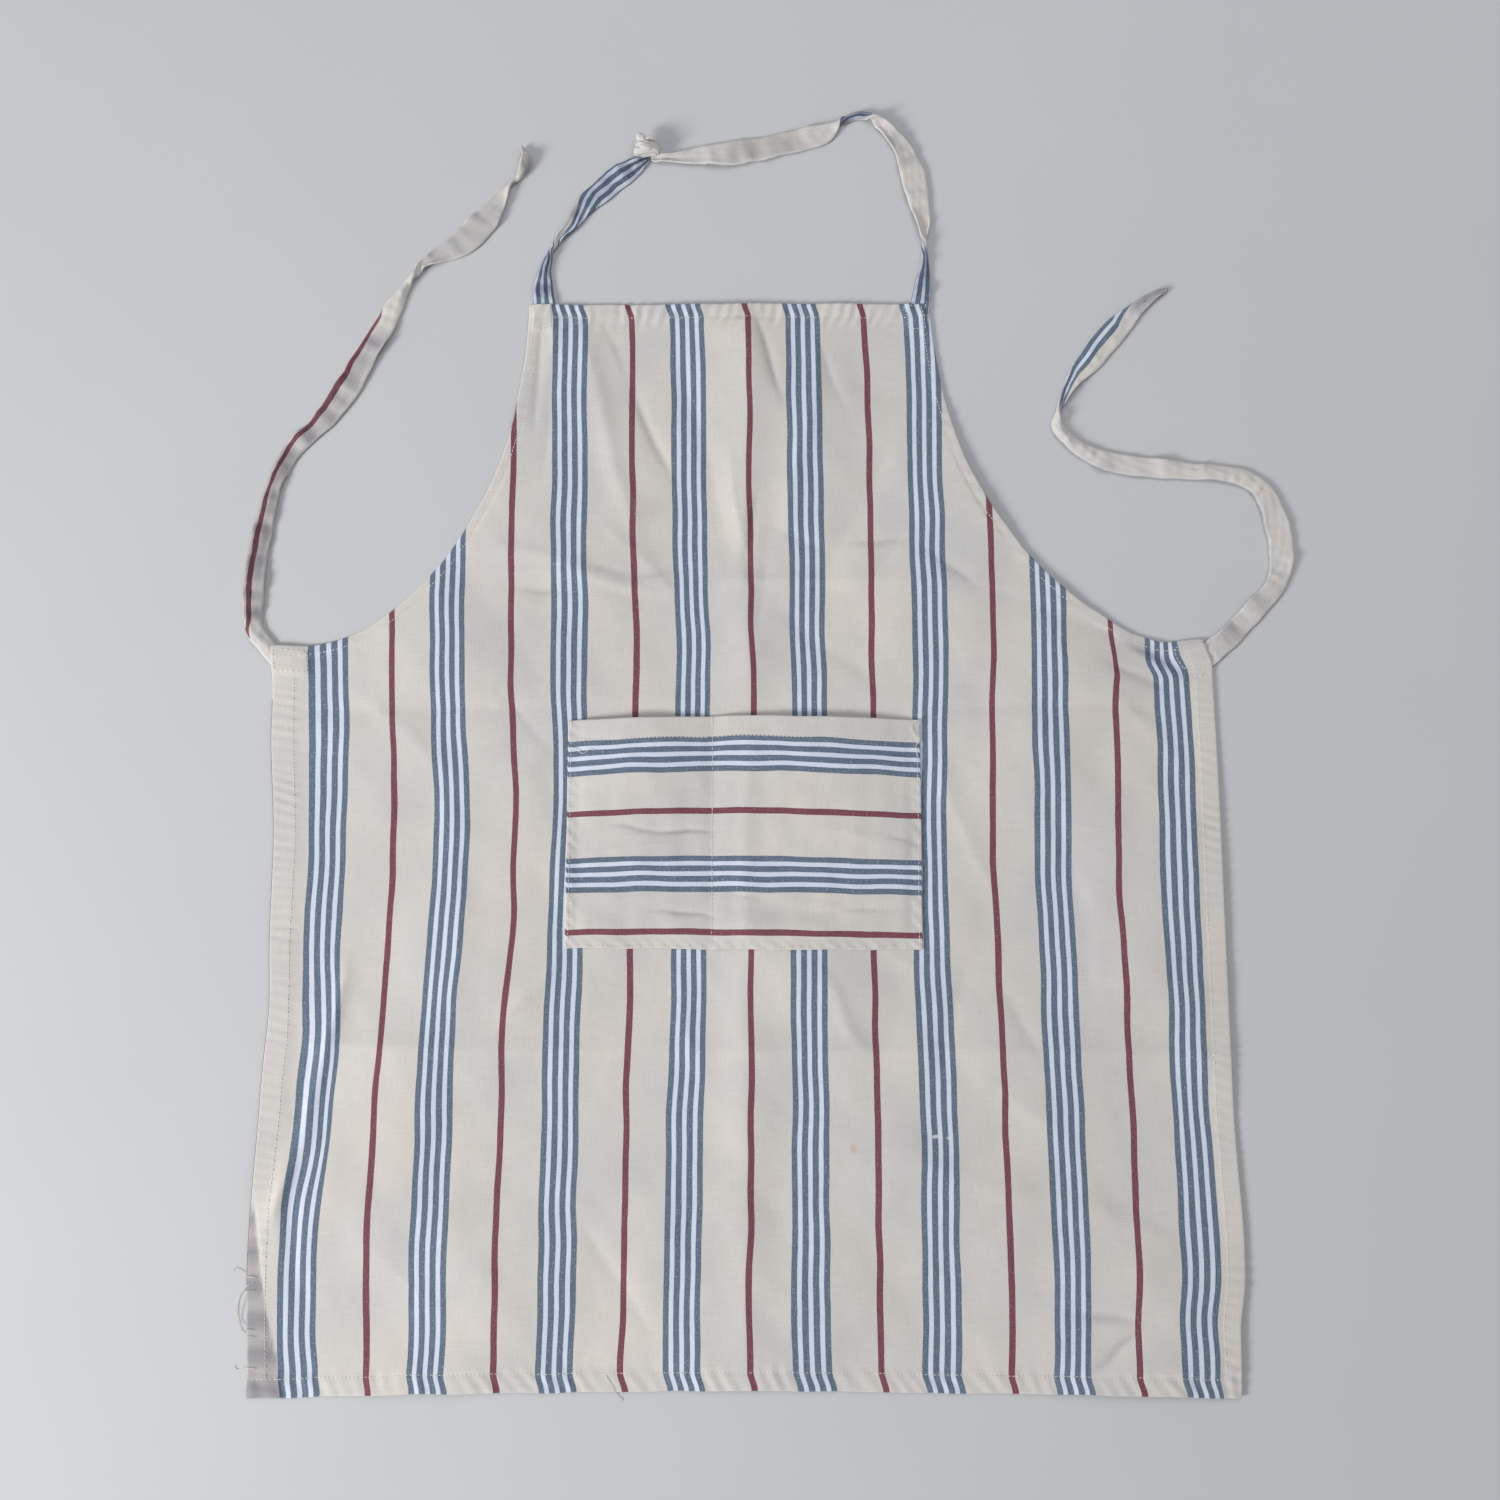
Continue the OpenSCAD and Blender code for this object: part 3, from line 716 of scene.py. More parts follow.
def add_studio():
    """Pale floor, a broad key from the lower left and a dim fill."""
    add_light("key", (-2.9, -1.0, 1.4), 1.1, 150, (1.0, 0.995, 0.985))
    add_light("fill", (0.6, 1.9, 1.9), 2.0, 16, (0.96, 0.98, 1.0))
    world = bpy.data.worlds.new("studio")
    world.use_nodes = True
    world.node_tree.nodes["Background"].inputs[0].default_value = (0.93, 0.95, 1.0, 1)
    world.node_tree.nodes["Background"].inputs[1].default_value = 0.42
    bpy.context.scene.world = world
    bpy.context.scene.view_settings.view_transform = "Standard"
    mesh = bpy.data.meshes.new("floor")
    corners = [(x * FLOOR_HALF, y * FLOOR_HALF, 0) for x, y in ((-1, -1), (1, -1), (1, 1), (-1, 1))]
    mesh.from_pydata(corners, [], [(0, 1, 2, 3)])
    mesh.materials.append(floor_material())
    placed("floor", mesh, (0, MIDDLE[1], -0.3 * MM))


# ---- Main cloth ----

CELL = 2.5 * MM  # mesh cell away from the hems
FINE = 1.5 * MM


def cloth_grid():
    """Points (s, t) and faces of the flat cloth, EDGE inside the folded edges and finer over the hems."""
    turn = math.atan2(ARMHOLE_B, ARMHOLE_A)
    knee_s, knee_t = armhole(turn)
    band = ARMHOLE_HEM + 4 * MM
    side = spread([(knee_s, CELL), (HALF_W - 19 * MM, FINE), (HALF_W - EDGE, 0)])
    inner = spread([(-knee_s, FINE), (band - knee_s, CELL), (knee_s - band, FINE), (knee_s, 0)])
    columns = np.concatenate([-side[:0:-1], inner, side[1:]])
    rows = spread([
        (EDGE, FINE), (20 * MM, CELL), (WAIST - 12 * MM, FINE), (WAIST + 12 * MM, CELL),
        (knee_t - band, FINE), (knee_t, 0),
    ])
    upper = spread([(knee_t, CELL), (TOP - 18 * MM, FINE), (TOP - EDGE, 0)])[1:]
    curve_s, curve_t = armhole(np.linspace(0, ARMHOLE_END, 400), EDGE)
    # lower block: outer columns stop at the armhole, so their rows are drawn down with it
    reach = np.abs(columns)
    drop = np.where(reach > knee_s - EDGE, knee_t - np.interp(reach, curve_s, curve_t), 0)
    level = rows[:, None] - drop * smooth(rows, 0.55 * WAIST, knee_t)[:, None]
    points = np.stack([np.tile(columns, (len(rows), 1)), level], axis=-1).reshape(-1, 2)
    faces = grid_faces(len(rows), len(columns))
    # upper block: rows are drawn in with the armhole
    width = len(inner)
    reach = np.interp(-upper, -curve_t, curve_s)
    block = np.stack([inner / knee_s * reach[:, None], np.tile(upper[:, None], width)], axis=-1)
    below = np.arange(width) + (len(rows) - 1) * len(columns) + len(side) - 1
    for r in range(len(upper)):
        here = np.arange(width) + len(points) + r * width
        faces.extend(zip(below[:-1].tolist(), below[1:].tolist(), here[1:].tolist(), here[:-1].tolist()))
        below = here
    points = np.concatenate([points, block.reshape(-1, 2)])
    points[:, 0] += lean(points[:, 1])
    return points, faces


def bend_at_waist(piece):
    """Bakes the piece's transform into its mesh."""
    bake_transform(piece)


def add_cloth(material, hems):
    """Skirt and bib as one cloth."""
    flat, faces = cloth_grid()
    s, t = flat.T
    top = on_cloth(s, t)
    # the weave's third part is the cloth's painted shade
    weave = np.column_stack([flat, cloth_shade(s, t)])
    cloth = closed_sheet("apron_cloth", top, top - (0, 0, CLOTH_T), faces, weave, material, EDGE)
    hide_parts("skirt_panel", "bib_panel")
    bend_at_waist(cloth)


# ---- Turned hems ----

HEM_T = 1.2 * MM  # two turned layers


def add_hem(name, path, inward, width, material):
    """Turned strip behind the cloth along a path on the flat cloth, from just inside its edge."""
    inward = np.broadcast_to(np.array(inward, float), path.shape)
    cols = 6
    reach = np.linspace(EDGE + 0.1 * MM, width, cols)
    flat = (path[:, None, :] + inward[:, None, :] * reach[None, :, None]).reshape(-1, 2)
    depth = np.tile(np.linspace(0, 1, cols), len(path))
    top = on_cloth(*flat.T, -CLOTH_T - LAYER_GAP)
    bottom = top.copy()
    thick = HEM_T * (1 - 0.35 * smooth(depth, 0.8, 1.0))
    bottom[:, 2] = np.maximum(top[:, 2] - thick, 0.08 * MM)
    faces = grid_faces(len(path), cols)
    # the turned layer carries the stripes back the other way
    weave = flat - 2 * np.repeat(inward, cols, axis=0) * (depth * width)[:, None]
    a, b, c = (top[v] for v in faces[0][:3])
    if np.cross(b - a, c - b)[2] < 0:
        faces = [tuple(reversed(f)) for f in faces]
    hem = closed_sheet(name, top, bottom, faces, weave, material)
    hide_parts(name.replace("_turn", ""))
    bend_at_waist(hem)
    return hem


def line(ax, ay, bx, by, step=4 * MM):
    """Points along a straight line."""
    n = max(2, round(math.hypot(bx - ax, by - ay) / step))
    return np.linspace((ax, ay), (bx, by), n + 1)


def armhole_run(side, last):
    """Armhole path from the waist up to the level last, and its directions into the cloth."""
    path = ARMHOLES[side]
    step = unit(np.gradient(path, axis=0))
    inward = np.stack([-side * step[:, 1], side * step[:, 0]], axis=1)
    keep = (path[:, 1] > WAIST + 1 * MM) & (path[:, 1] < last)
    return path[keep], inward[keep]


def add_hems(material):
    """Turned strips of the skirt and bib."""
    path = line(-HALF_W + EDGE, 0, HALF_W - EDGE, 0)
    hems = [add_hem("bottom_hem_turn", path, (0, 1), BOTTOM_HEM, material)]
    for side, word in SIDES.items():
        path = line(side * HALF_W, BOTTOM_HEM + 0.5 * MM, side * HALF_W, TIE_ENDS[side][0][1])
        hems.append(add_hem(f"side_hem_turn_{word}", path, (-side, 0), SIDE_HEM, material))
        path, inward = armhole_run(side, NECK_ENDS[side][0][1])
        hems.append(add_hem(f"armhole_hem_turn_{word}", path, inward, ARMHOLE_HEM, material))
    path = line(NECK_ENDS[-1][1][0], TOP, NECK_ENDS[1][0][0], TOP)
    return hems + [add_hem("bib_top_hem_turn", path, (0, -1), TOP_HEM, material)]


# ---- Stitching ----

STITCH = 2.5 * MM
PITCH = 3.3 * MM
THREAD_R = 0.27 * MM
LOOSE_R = 0.2 * MM
THREAD_SIDES = 6
SEAM_IN = 1 * MM  # from the inner edge of a turned hem to its seam
BOX_IN = 2 * MM  # from the edge of a sewn end to its stitching
# Rings of a stitch: place along it, thickness and lift, as shares
STITCH_RINGS = (
    (-1.0, 0.25, -0.8),
    (-0.75, 0.85, -0.1),
    (0.0, 1.0, 0.35),
    (0.75, 0.85, -0.1),
    (1.0, 0.25, -0.8),
)


def circle(sides):
    """Cosine and sine of each point of a ring, as columns."""
    turn = 2 * math.pi * np.arange(sides)[:, None] / sides
    return np.cos(turn), np.sin(turn)


def stitch(centre, along, length):
    """Points and faces of a short round stitch that sinks into the cloth at both ends."""
    along = unit(along)
    across = unit(np.array([-along[1], along[0], 0.0]))
    up = np.cross(along, across)
    cos, sin = circle(THREAD_SIDES)
    offset = across * cos + up * sin
    rings = [
        centre + along * share * length / 2 + (offset * thick + up * lift) * THREAD_R
        for share, thick, lift in STITCH_RINGS
    ]
    return np.concatenate(rings), tube_faces(len(rings), THREAD_SIDES)


def loose_thread(stops, surface):
    """Points and faces of a loose thread through stops (s, t, height over the cloth or floor)."""
    route = catmull(np.array(stops) * MM, 6)
    route[:, :2] = np.clip(route[:, :2], (-0.42, -0.02), (0.42, 0.9))
    held = np.clip(route[:, 0], EDGE - HALF_W, HALF_W - EDGE)
    spots = surface(held, np.maximum(route[:, 1], EDGE))
    out = np.abs(route[:, 0]) > HALF_W
    below = route[:, 1] < 0
    spots[:, 0] += np.where(out, route[:, 0] - held, 0)
    spots[:, 1] += np.where(below, route[:, 1] - EDGE, 0)
    spots[:, 2] = np.where(out | below, 0, spots[:, 2]) + route[:, 2] + LOOSE_R
    ahead = unit(np.gradient(spots, axis=0))
    across = unit(np.cross(ahead, (0.13, 0.21, 1.0)))
    up = np.cross(across, ahead)
    cos, sin = circle(THREAD_SIDES)
    rings = spots[:, None] + LOOSE_R * (across[:, None] * cos + up[:, None] * sin)
    return rings.reshape(-1, 3), tube_faces(len(spots), THREAD_SIDES)


def along_path(path, pitch):
    """Evenly spaced points on a path of flat points."""
    steps = np.hypot(*np.diff(path, axis=0).T)
    distance = np.concatenate([[0], np.cumsum(steps)])
    at = np.arange(pitch / 2, distance[-1], pitch)
    return np.stack([np.interp(at, distance, path[:, k]) for k in range(2)], axis=1)


def add_seam(name, paths, surface, node, material, pitch=PITCH, length=STITCH, loose=()):
    """Row of stitches along each path on a surface that gives points from (s, t), and loose ends."""
    parts = []
    for path in paths:
        flat = along_path(path, pitch)
        here = surface(*flat.T)
        there = surface(*(flat + 0.2 * np.gradient(flat, axis=0)).T)
        parts.extend(stitch(centre, along, length) for centre, along in zip(here, there - here))
    parts.extend(loose_thread(stops, surface) for stops in loose)
    points, faces = joined(parts)
    seam = new_mesh(name, points, faces, points, material)
    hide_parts(node)
    if surface is on_pocket:
        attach(seam, "skirt")
    else:
        bend_at_waist(seam)


# Loose threads, in millimetres: s, t and height at each point
CORNER_THREADS = [
    # frayed loop and short ends at the lower left corner
    [(-380, 86, 0.6), (-387.5, 82, 1.0), (-393, 74, 0.4), (-394, 62, 0.2), (-391, 50, 0.3),
     (-386.5, 46, 1.2), (-380, 45, 0.6)],
    [(-380, 80, 0.6), (-387.5, 78, 1.6), (-391, 68, 0.9), (-392, 58, 0.6), (-388, 52, 1.2), (-381, 50, 0.6)],
    [(-379, 90, 0.6), (-388, 92, 1.2), (-395, 97, 0.3), (-398, 95, 0.2)],
    [(-379, 22, 0.6), (-388, 23, 1.2), (-394, 21, 0.2), (-397, 24, 0.2)],
]
HEM_THREADS = [
    [(-107, 12, 0.3), (-106, 5, 0.8), (-102, -3, 0.3), (-98, -6, 0.2), (-101, -8, 0.2)],
]
POCKET_THREADS = [
    [(141, 526, 0.4), (144, 530, 1.6), (139, 532, 2.2), (136, 525, 1.2), (140, 519, 0.8)],
    [(141, 522, 0.4), (143.5, 516, 1.2), (140, 510, 0.8), (142, 503, 0.6)],
    [(-141, 511, 0.3), (-136, 508, 1.0), (-131, 505, 0.8), (-126, 508, 0.5), (-122, 507, 0.4)],
]


def end_box(box):
    """Four paths of stitching just inside a strap's sewn end."""
    low, high = box
    x0, x1 = max(low[0], -HALF_W) + BOX_IN, min(high[0], HALF_W) - BOX_IN
    y0, y1 = low[1] + BOX_IN, min(high[1], TOP) - BOX_IN
    return [line(x0, y0, x1, y0), line(x1, y0, x1, y1), line(x1, y1, x0, y1), line(x0, y1, x0, y0)]


def add_seams(material):
    """Stitching of the hems and of the straps' sewn ends."""
    y = BOTTOM_HEM - SEAM_IN
    path = line(-HALF_W + 3 * MM, y, HALF_W - 3 * MM, y)
    add_seam("bottom_seam", [path], on_cloth, "bottom_stitching", material, loose=HEM_THREADS)
    y = TOP - TOP_HEM + SEAM_IN
    path = line(NECK_ENDS[-1][1][0], y, NECK_ENDS[1][0][0], y)
    add_seam("bib_top_seam", [path], on_cloth, "bib_top_stitching", material)
    for side, word in SIDES.items():
        x = side * (HALF_W - SIDE_HEM + SEAM_IN)
        path = line(x, BOTTOM_HEM, x, TIE_ENDS[side][0][1] - 2 * MM)
        loose = CORNER_THREADS if side < 0 else ()
        add_seam(f"side_seam_{word}", [path], on_cloth, f"side_stitching_{word}", material, loose=loose)
        run, inward = armhole_run(side, NECK_ENDS[side][0][1])
        path = run + inward * (ARMHOLE_HEM - SEAM_IN)
        add_seam(f"armhole_seam_{word}", [path], on_cloth, f"armhole_stitching_{word}", material)
        box = end_box(TIE_ENDS[side])
        add_seam(f"tie_end_seam_{word}", box, on_cloth, f"tie_{word}_stitching", material)
        box = end_box(NECK_ENDS[side])
        add_seam(f"neck_end_seam_{word}", box, on_cloth, f"neck_stitching_{word}", material)


# ---- Pocket ----

POCKET_MOUTH = POCKET[1][1]
POCKET_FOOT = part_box("pocket_sewn_border")[0][1]
POCKET_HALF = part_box("pocket_sewn_border")[1][0]
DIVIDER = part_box("pocket_divider_stitching")
DIVIDER_X = (DIVIDER[0][0] + DIVIDER[1][0]) / 2
POCKET_PERIOD = 97.7 * MM
POCKET_RED = 52.3 * MM
POCKET_BLUE = 31 * MM  # first blue group below the mouth
POCKET_EDGE = 0.8 * MM
POCKET_SEAM = 2.5 * MM  # how far the edge seam lies in
BAND_SEAM = 17 * MM  # how far the mouth's seam lies down
TACK = 7 * MM  # how far the bar tacks reach down
POCKET_CREASES = [
    ((-120, 420), (-60, 402), 0.8, 9), ((0, 350), (2, 533), 0.8, 16), ((40, 380), (120, 372), 0.8, 7),
    ((60, 440), (142, 428), 0.8, 9), ((-20, 392), (14, 400), -0.8, 4), ((30, 505), (100, 492), 0.7, 10),
]
POCKET_RIDGES = [
    ((-100, 444), (-70, 437), -1.8, 2.2), ((-74, 438), (-26, 439), -2.8, 2.0),
    ((-108, 424), (-60, 429), 1.2, 3.0), ((-66, 374), (-27, 370), -2.4, 2.0),
    ((124, 434), (142, 428), -1.6, 2.4), ((60, 374), (128, 378), -1.2, 3.5),
    ((-20, 392), (16, 384), -1.4, 3.0), ((-140, 520), (-95, 514), -1.0, 3.0),
    ((0, 348), (2, 533), 0.7, 12.0),
]


def pocket_bow(s, t):
    """How far the pocket's threads rise or drop from straight rows."""
    mouth = 4.5 * MM * (1 - (s / POCKET_HALF) ** 2) - 3.5 * MM
    wave = 0.8 * MM * np.sin((s - DIVIDER_X) / (34 * MM)) * bell(s - DIVIDER_X, 60 * MM)
    return smooth(t, POCKET_FOOT, POCKET_MOUTH) * (mouth + wave)


def pocket_lift(s, t):
    """Height of the pocket front above the cloth that it is sewn to."""
    # each compartment bulges, most at the mouth
    bulge = 0.8 + 2.8 * smooth(t, POCKET_FOOT + 12 * MM, POCKET_MOUTH)
    bulge = bulge * smooth(t, POCKET_FOOT + 4 * MM, POCKET_FOOT + 36 * MM)
    total = 0
    for low, high in ((-POCKET_HALF, DIVIDER_X), (DIVIDER_X, POCKET_HALF)):
        u = np.clip((s - low - 5 * MM) / (high - low - 10 * MM), 0, 1)
        total = total + np.sin(math.pi * u) ** 1.2 * bulge * MM
    held = np.minimum(POCKET_HALF - np.abs(s), t - POCKET_FOOT)
    total = total + 1.2 * MM * smooth(held, 4 * MM, 16 * MM)
    for fold in POCKET_CREASES:
        total = total + crease(s, t, *fold) * smooth(total, 0, 1 * MM)
    for fold in POCKET_RIDGES:
        total = total + ridge(s, t, *fold)
    # turned edges are thicker than the middle
    total = total + 0.5 * MM * (1 - smooth(held, 4 * MM, 11 * MM))
    total = total + 0.5 * MM * smooth(t, POCKET_MOUTH - 20 * MM, POCKET_MOUTH - BAND_SEAM)
    # the seams pull it down and pucker it
    total = total - 0.22 * MM * bell(held - POCKET_SEAM, 1.2 * MM) - 0.5 * MM * bell(s - DIVIDER_X, 5 * MM)
    total = total + 0.25 * MM * waves(s, t, 0.03, 21) * smooth(held, 0, 12 * MM)
    pucker = np.sin(2 * math.pi * (s + t) / (11 * MM) + 3 * waves(s, t, 0.06, 9))
    return total + 0.22 * MM * pucker * (1 - smooth(held, 3 * MM, 12 * MM))


def on_pocket(s, t, up=0.0):
    """Points on the pocket front as an array, raised by up."""
    _, y = lay(s, t)
    x = s - 0.8 * MM + 0.5 * MM * waves(s, t, 0.2, 31)
    z = cloth_z(s, t) + 0.15 * MM + CLOTH_T + pocket_lift(s, t) + up
    return np.stack([x, y + pocket_bow(s, t), z], axis=-1)


def pocket_front(material):
    """Front of the pocket, with its stripes across."""
    # fine cells along the seams, and in the rows that hold its sharp folds
    columns = spread([
        (-POCKET_HALF + POCKET_EDGE, 1.5 * MM), (-POCKET_HALF + 10 * MM, 2.6 * MM),
        (DIVIDER_X - 6 * MM, 1.5 * MM), (DIVIDER_X + 6 * MM, 2.6 * MM),
        (POCKET_HALF - 10 * MM, 1.5 * MM), (POCKET_HALF - POCKET_EDGE, 0),
    ])
    rows = spread([
        (POCKET_FOOT + POCKET_EDGE, 1.2 * MM), (POCKET_FOOT + 54 * MM, 2.2 * MM), (0.426, 0.9 * MM),
        (0.448, 2.2 * MM), (POCKET_MOUTH - 22 * MM, 1.5 * MM), (POCKET_MOUTH - POCKET_EDGE, 0),
    ])
    s, t = (v.ravel() for v in np.meshgrid(columns, rows))
    top = on_pocket(s, t)
    drop = 2.2 * MM * smooth(s, 20 * MM, POCKET_HALF) + 1.0 * MM * smooth(-s, 60 * MM, POCKET_HALF)
    row = (t - POCKET_MOUTH + POCKET_BLUE + drop) * STRIPE_PERIOD / POCKET_PERIOD + BLUE_CENTRE
    # the weave's third part is painted shade along the pocket's deepest creases
    weave = np.stack([row, s, 0.55 * valley_shade(s, t, POCKET_RIDGES, 1.5, 1.5 * MM)], axis=1)
    faces = grid_faces(len(rows), len(columns))
    return closed_sheet("pocket_cloth", top, top - (0, 0, CLOTH_T), faces, weave, material, POCKET_EDGE)


def pocket_band(material):
    """Turned band behind the pocket mouth."""
    run = np.linspace(-POCKET_HALF + 2 * MM, POCKET_HALF - 2 * MM, 110)
    rows = POCKET_MOUTH - np.linspace(18 * MM, 1 * MM, 7)
    s, t = (v.ravel() for v in np.meshgrid(run, rows))
    top = on_pocket(s, t, -CLOTH_T - LAYER_GAP)
    weave = np.stack([BLUE_CENTRE - 30 * MM + t - POCKET_MOUTH, s], axis=1)
    faces = grid_faces(len(rows), len(run))
    return closed_sheet("pocket_mouth_band", top, top - (0, 0, CLOTH_T), faces, weave, material)


def add_pocket(material, hem_material):
    """Patch pocket, sewn down at three sides and at the divider."""
    pocket = pocket_front(material)
    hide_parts("pocket_front", "pocket_side_folds", "pocket_bottom_folds", "pocket_sewn_border")
    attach(pocket, "skirt")
    band = pocket_band(hem_material)
    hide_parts("pocket_mouth_hem")
    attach(band, "skirt")


def add_pocket_seams(material):
    """Stitching of the pocket's edge, mouth and divider, and its bar tacks."""
    x, low, high = POCKET_HALF - POCKET_SEAM, POCKET_FOOT + POCKET_SEAM, POCKET_MOUTH - TACK
    edge = [line(-x, high, -x, low), line(-x, low, x, low), line(x, low, x, high)]
    add_seam("pocket_edge_seam", edge, on_pocket, "pocket_edge_stitching", material)
    y = POCKET_MOUTH - BAND_SEAM
    runs = ((-x + 3 * MM, DIVIDER_X - 3 * MM), (DIVIDER_X + 3 * MM, x - 3 * MM))
    mouth = [line(start, y, end, y) for start, end in runs]
    add_seam("pocket_mouth_seam", mouth, on_pocket, "pocket_mouth_stitching", material)
    middle = [line(DIVIDER_X, low + 3 * MM, DIVIDER_X, high)]
    add_seam("pocket_divider_seam", middle, on_pocket, "pocket_divider_stitching", material)
    places = [at + k * 0.45 * MM for at in (-x, DIVIDER_X, x) for k in (-1, 0, 1)]
    bars = [line(at, high, at, POCKET_MOUTH - 1 * MM) for at in places]
    pitch, length = 1.3 * MM, 1.6 * MM
    add_seam("pocket_tacks", bars, on_pocket, "pocket_bar_tacks", material, pitch, length, POCKET_THREADS)


# ---- Straps ----

STRAP_W = 20 * MM
FACE_POINTS = 11  # across one face of a strap
TIP_RINGS = ((0.8, 2.2 * MM), (0.45, 3.6 * MM))  # share of the width and how far on

# Routes of the straps as laid, in millimetres: x, y and width at each point.
# Those of the ties are from the pivot, those of the neck loop from the middle of the bib top.
TIE_LEFT = [
    (26, -9, 18), (14, 2, 15),
    (2, 15, 14), (-8, 30, 15), (-10, 58, 19), (-8, 88, 18), (-3, 120, 17), (3, 150, 14), (18, 182, 16),
    (42, 207, 18), (61, 234, 22), (76, 264, 20), (90, 289, 19), (99, 308, 16), (107, 323, 9), (115, 336, 7),
    (123, 347, 9), (137, 356, 15), (157, 368, 24), (174, 386, 24), (185, 403, 17), (196, 421, 5),
    (204, 428, 7), (210, 440, 13), (207, 451, 6),
]
TIE_RIGHT = [
    (-30, -8, 18), (-21, 2, 18),
    (-11, 11, 20), (6, 26, 19), (22, 43, 19), (40, 63, 17), (47, 81, 20), (48, 100, 22), (45, 119, 22),
    (37, 143, 18), (24, 155, 16), (4, 161, 15), (-19, 163, 15), (-47, 165, 17), (-74, 168, 18),
    (-97, 173, 18), (-113, 180, 14), (-127, 191, 12), (-136, 203, 10), (-134, 216, 6), (-129, 228, 8),
    (-122, 242, 13), (-109, 258, 20), (-96, 274, 22), (-81, 291, 21), (-67, 305, 14),
    (-54, 316, 9), (-41, 323, 5),
]
NECK_LEFT = [
    (-160, 6, 18), (-161, 18, 16), (-159, 34, 9), (-151, 54, 6), (-138, 72, 11), (-124, 92, 18),
    (-107, 108, 21), (-93, 119, 20), (-84, 126, 16), (-76, 131, 10),
]
NECK_RIGHT = [
    (162, 6, 17), (164, 22, 14), (166, 40, 7), (166, 56, 6), (165, 76, 13), (161, 98, 20), (156, 122, 22),
    (147, 144, 15), (132, 162, 11), (113, 173, 8), (95, 167, 7), (80, 156, 18), (58, 150, 20), (30, 143, 21),
    (0, 138, 23), (-28, 136, 17), (-50, 133, 8), (-66, 133, 6),
]


def catmull(route, steps):
    """Smooth curve through the points of a route."""
    r = np.array(route, float)
    ends = np.concatenate([r[:1], r, r[-1:]])
    t = np.arange(steps)[:, None] / steps
    curves = [
        0.5 * (2 * b + (c - a) * t + (2 * a - 5 * b + 4 * c - d) * t ** 2 + (3 * b - a - 3 * c + d) * t ** 3)
        for a, b, c, d in zip(ends[:-3], ends[1:-2], ends[2:-1], ends[3:])
    ]
    return np.concatenate([*curves, r[-1:]])


def strap_section(width, thick, cup):
    """Places across and up of each ring: top from left to right, right rim, bottom back, left rim."""
    across = np.linspace(-1, 1, FACE_POINTS)
    bead = 0.25 * MM * smooth(np.abs(across), 0.72, 0.86)
    crown = cup * (1 - across ** 2)
    reach = across * (width / 2 - 0.45 * thick)
    flat = [reach, width / 2, reach[:, ::-1], -width / 2]
    high = [thick / 2 + bead + crown, 0.1 * thick, (crown - thick / 2)[:, ::-1], 0.1 * thick]
    return np.concatenate(flat, axis=1), np.concatenate(high, axis=1)


def face_weave(run, share, face):
    """Place on the weave across a strap's face.

    face holds the place of its middle, or (distance, place) stops, and how wide the stripes look."""
    middle, stretch = face
    at, place = np.array(middle if isinstance(middle, list) else [(0, middle)]).T * MM
    return np.interp(run, at, place) + stretch * share * STRAP_W / 2


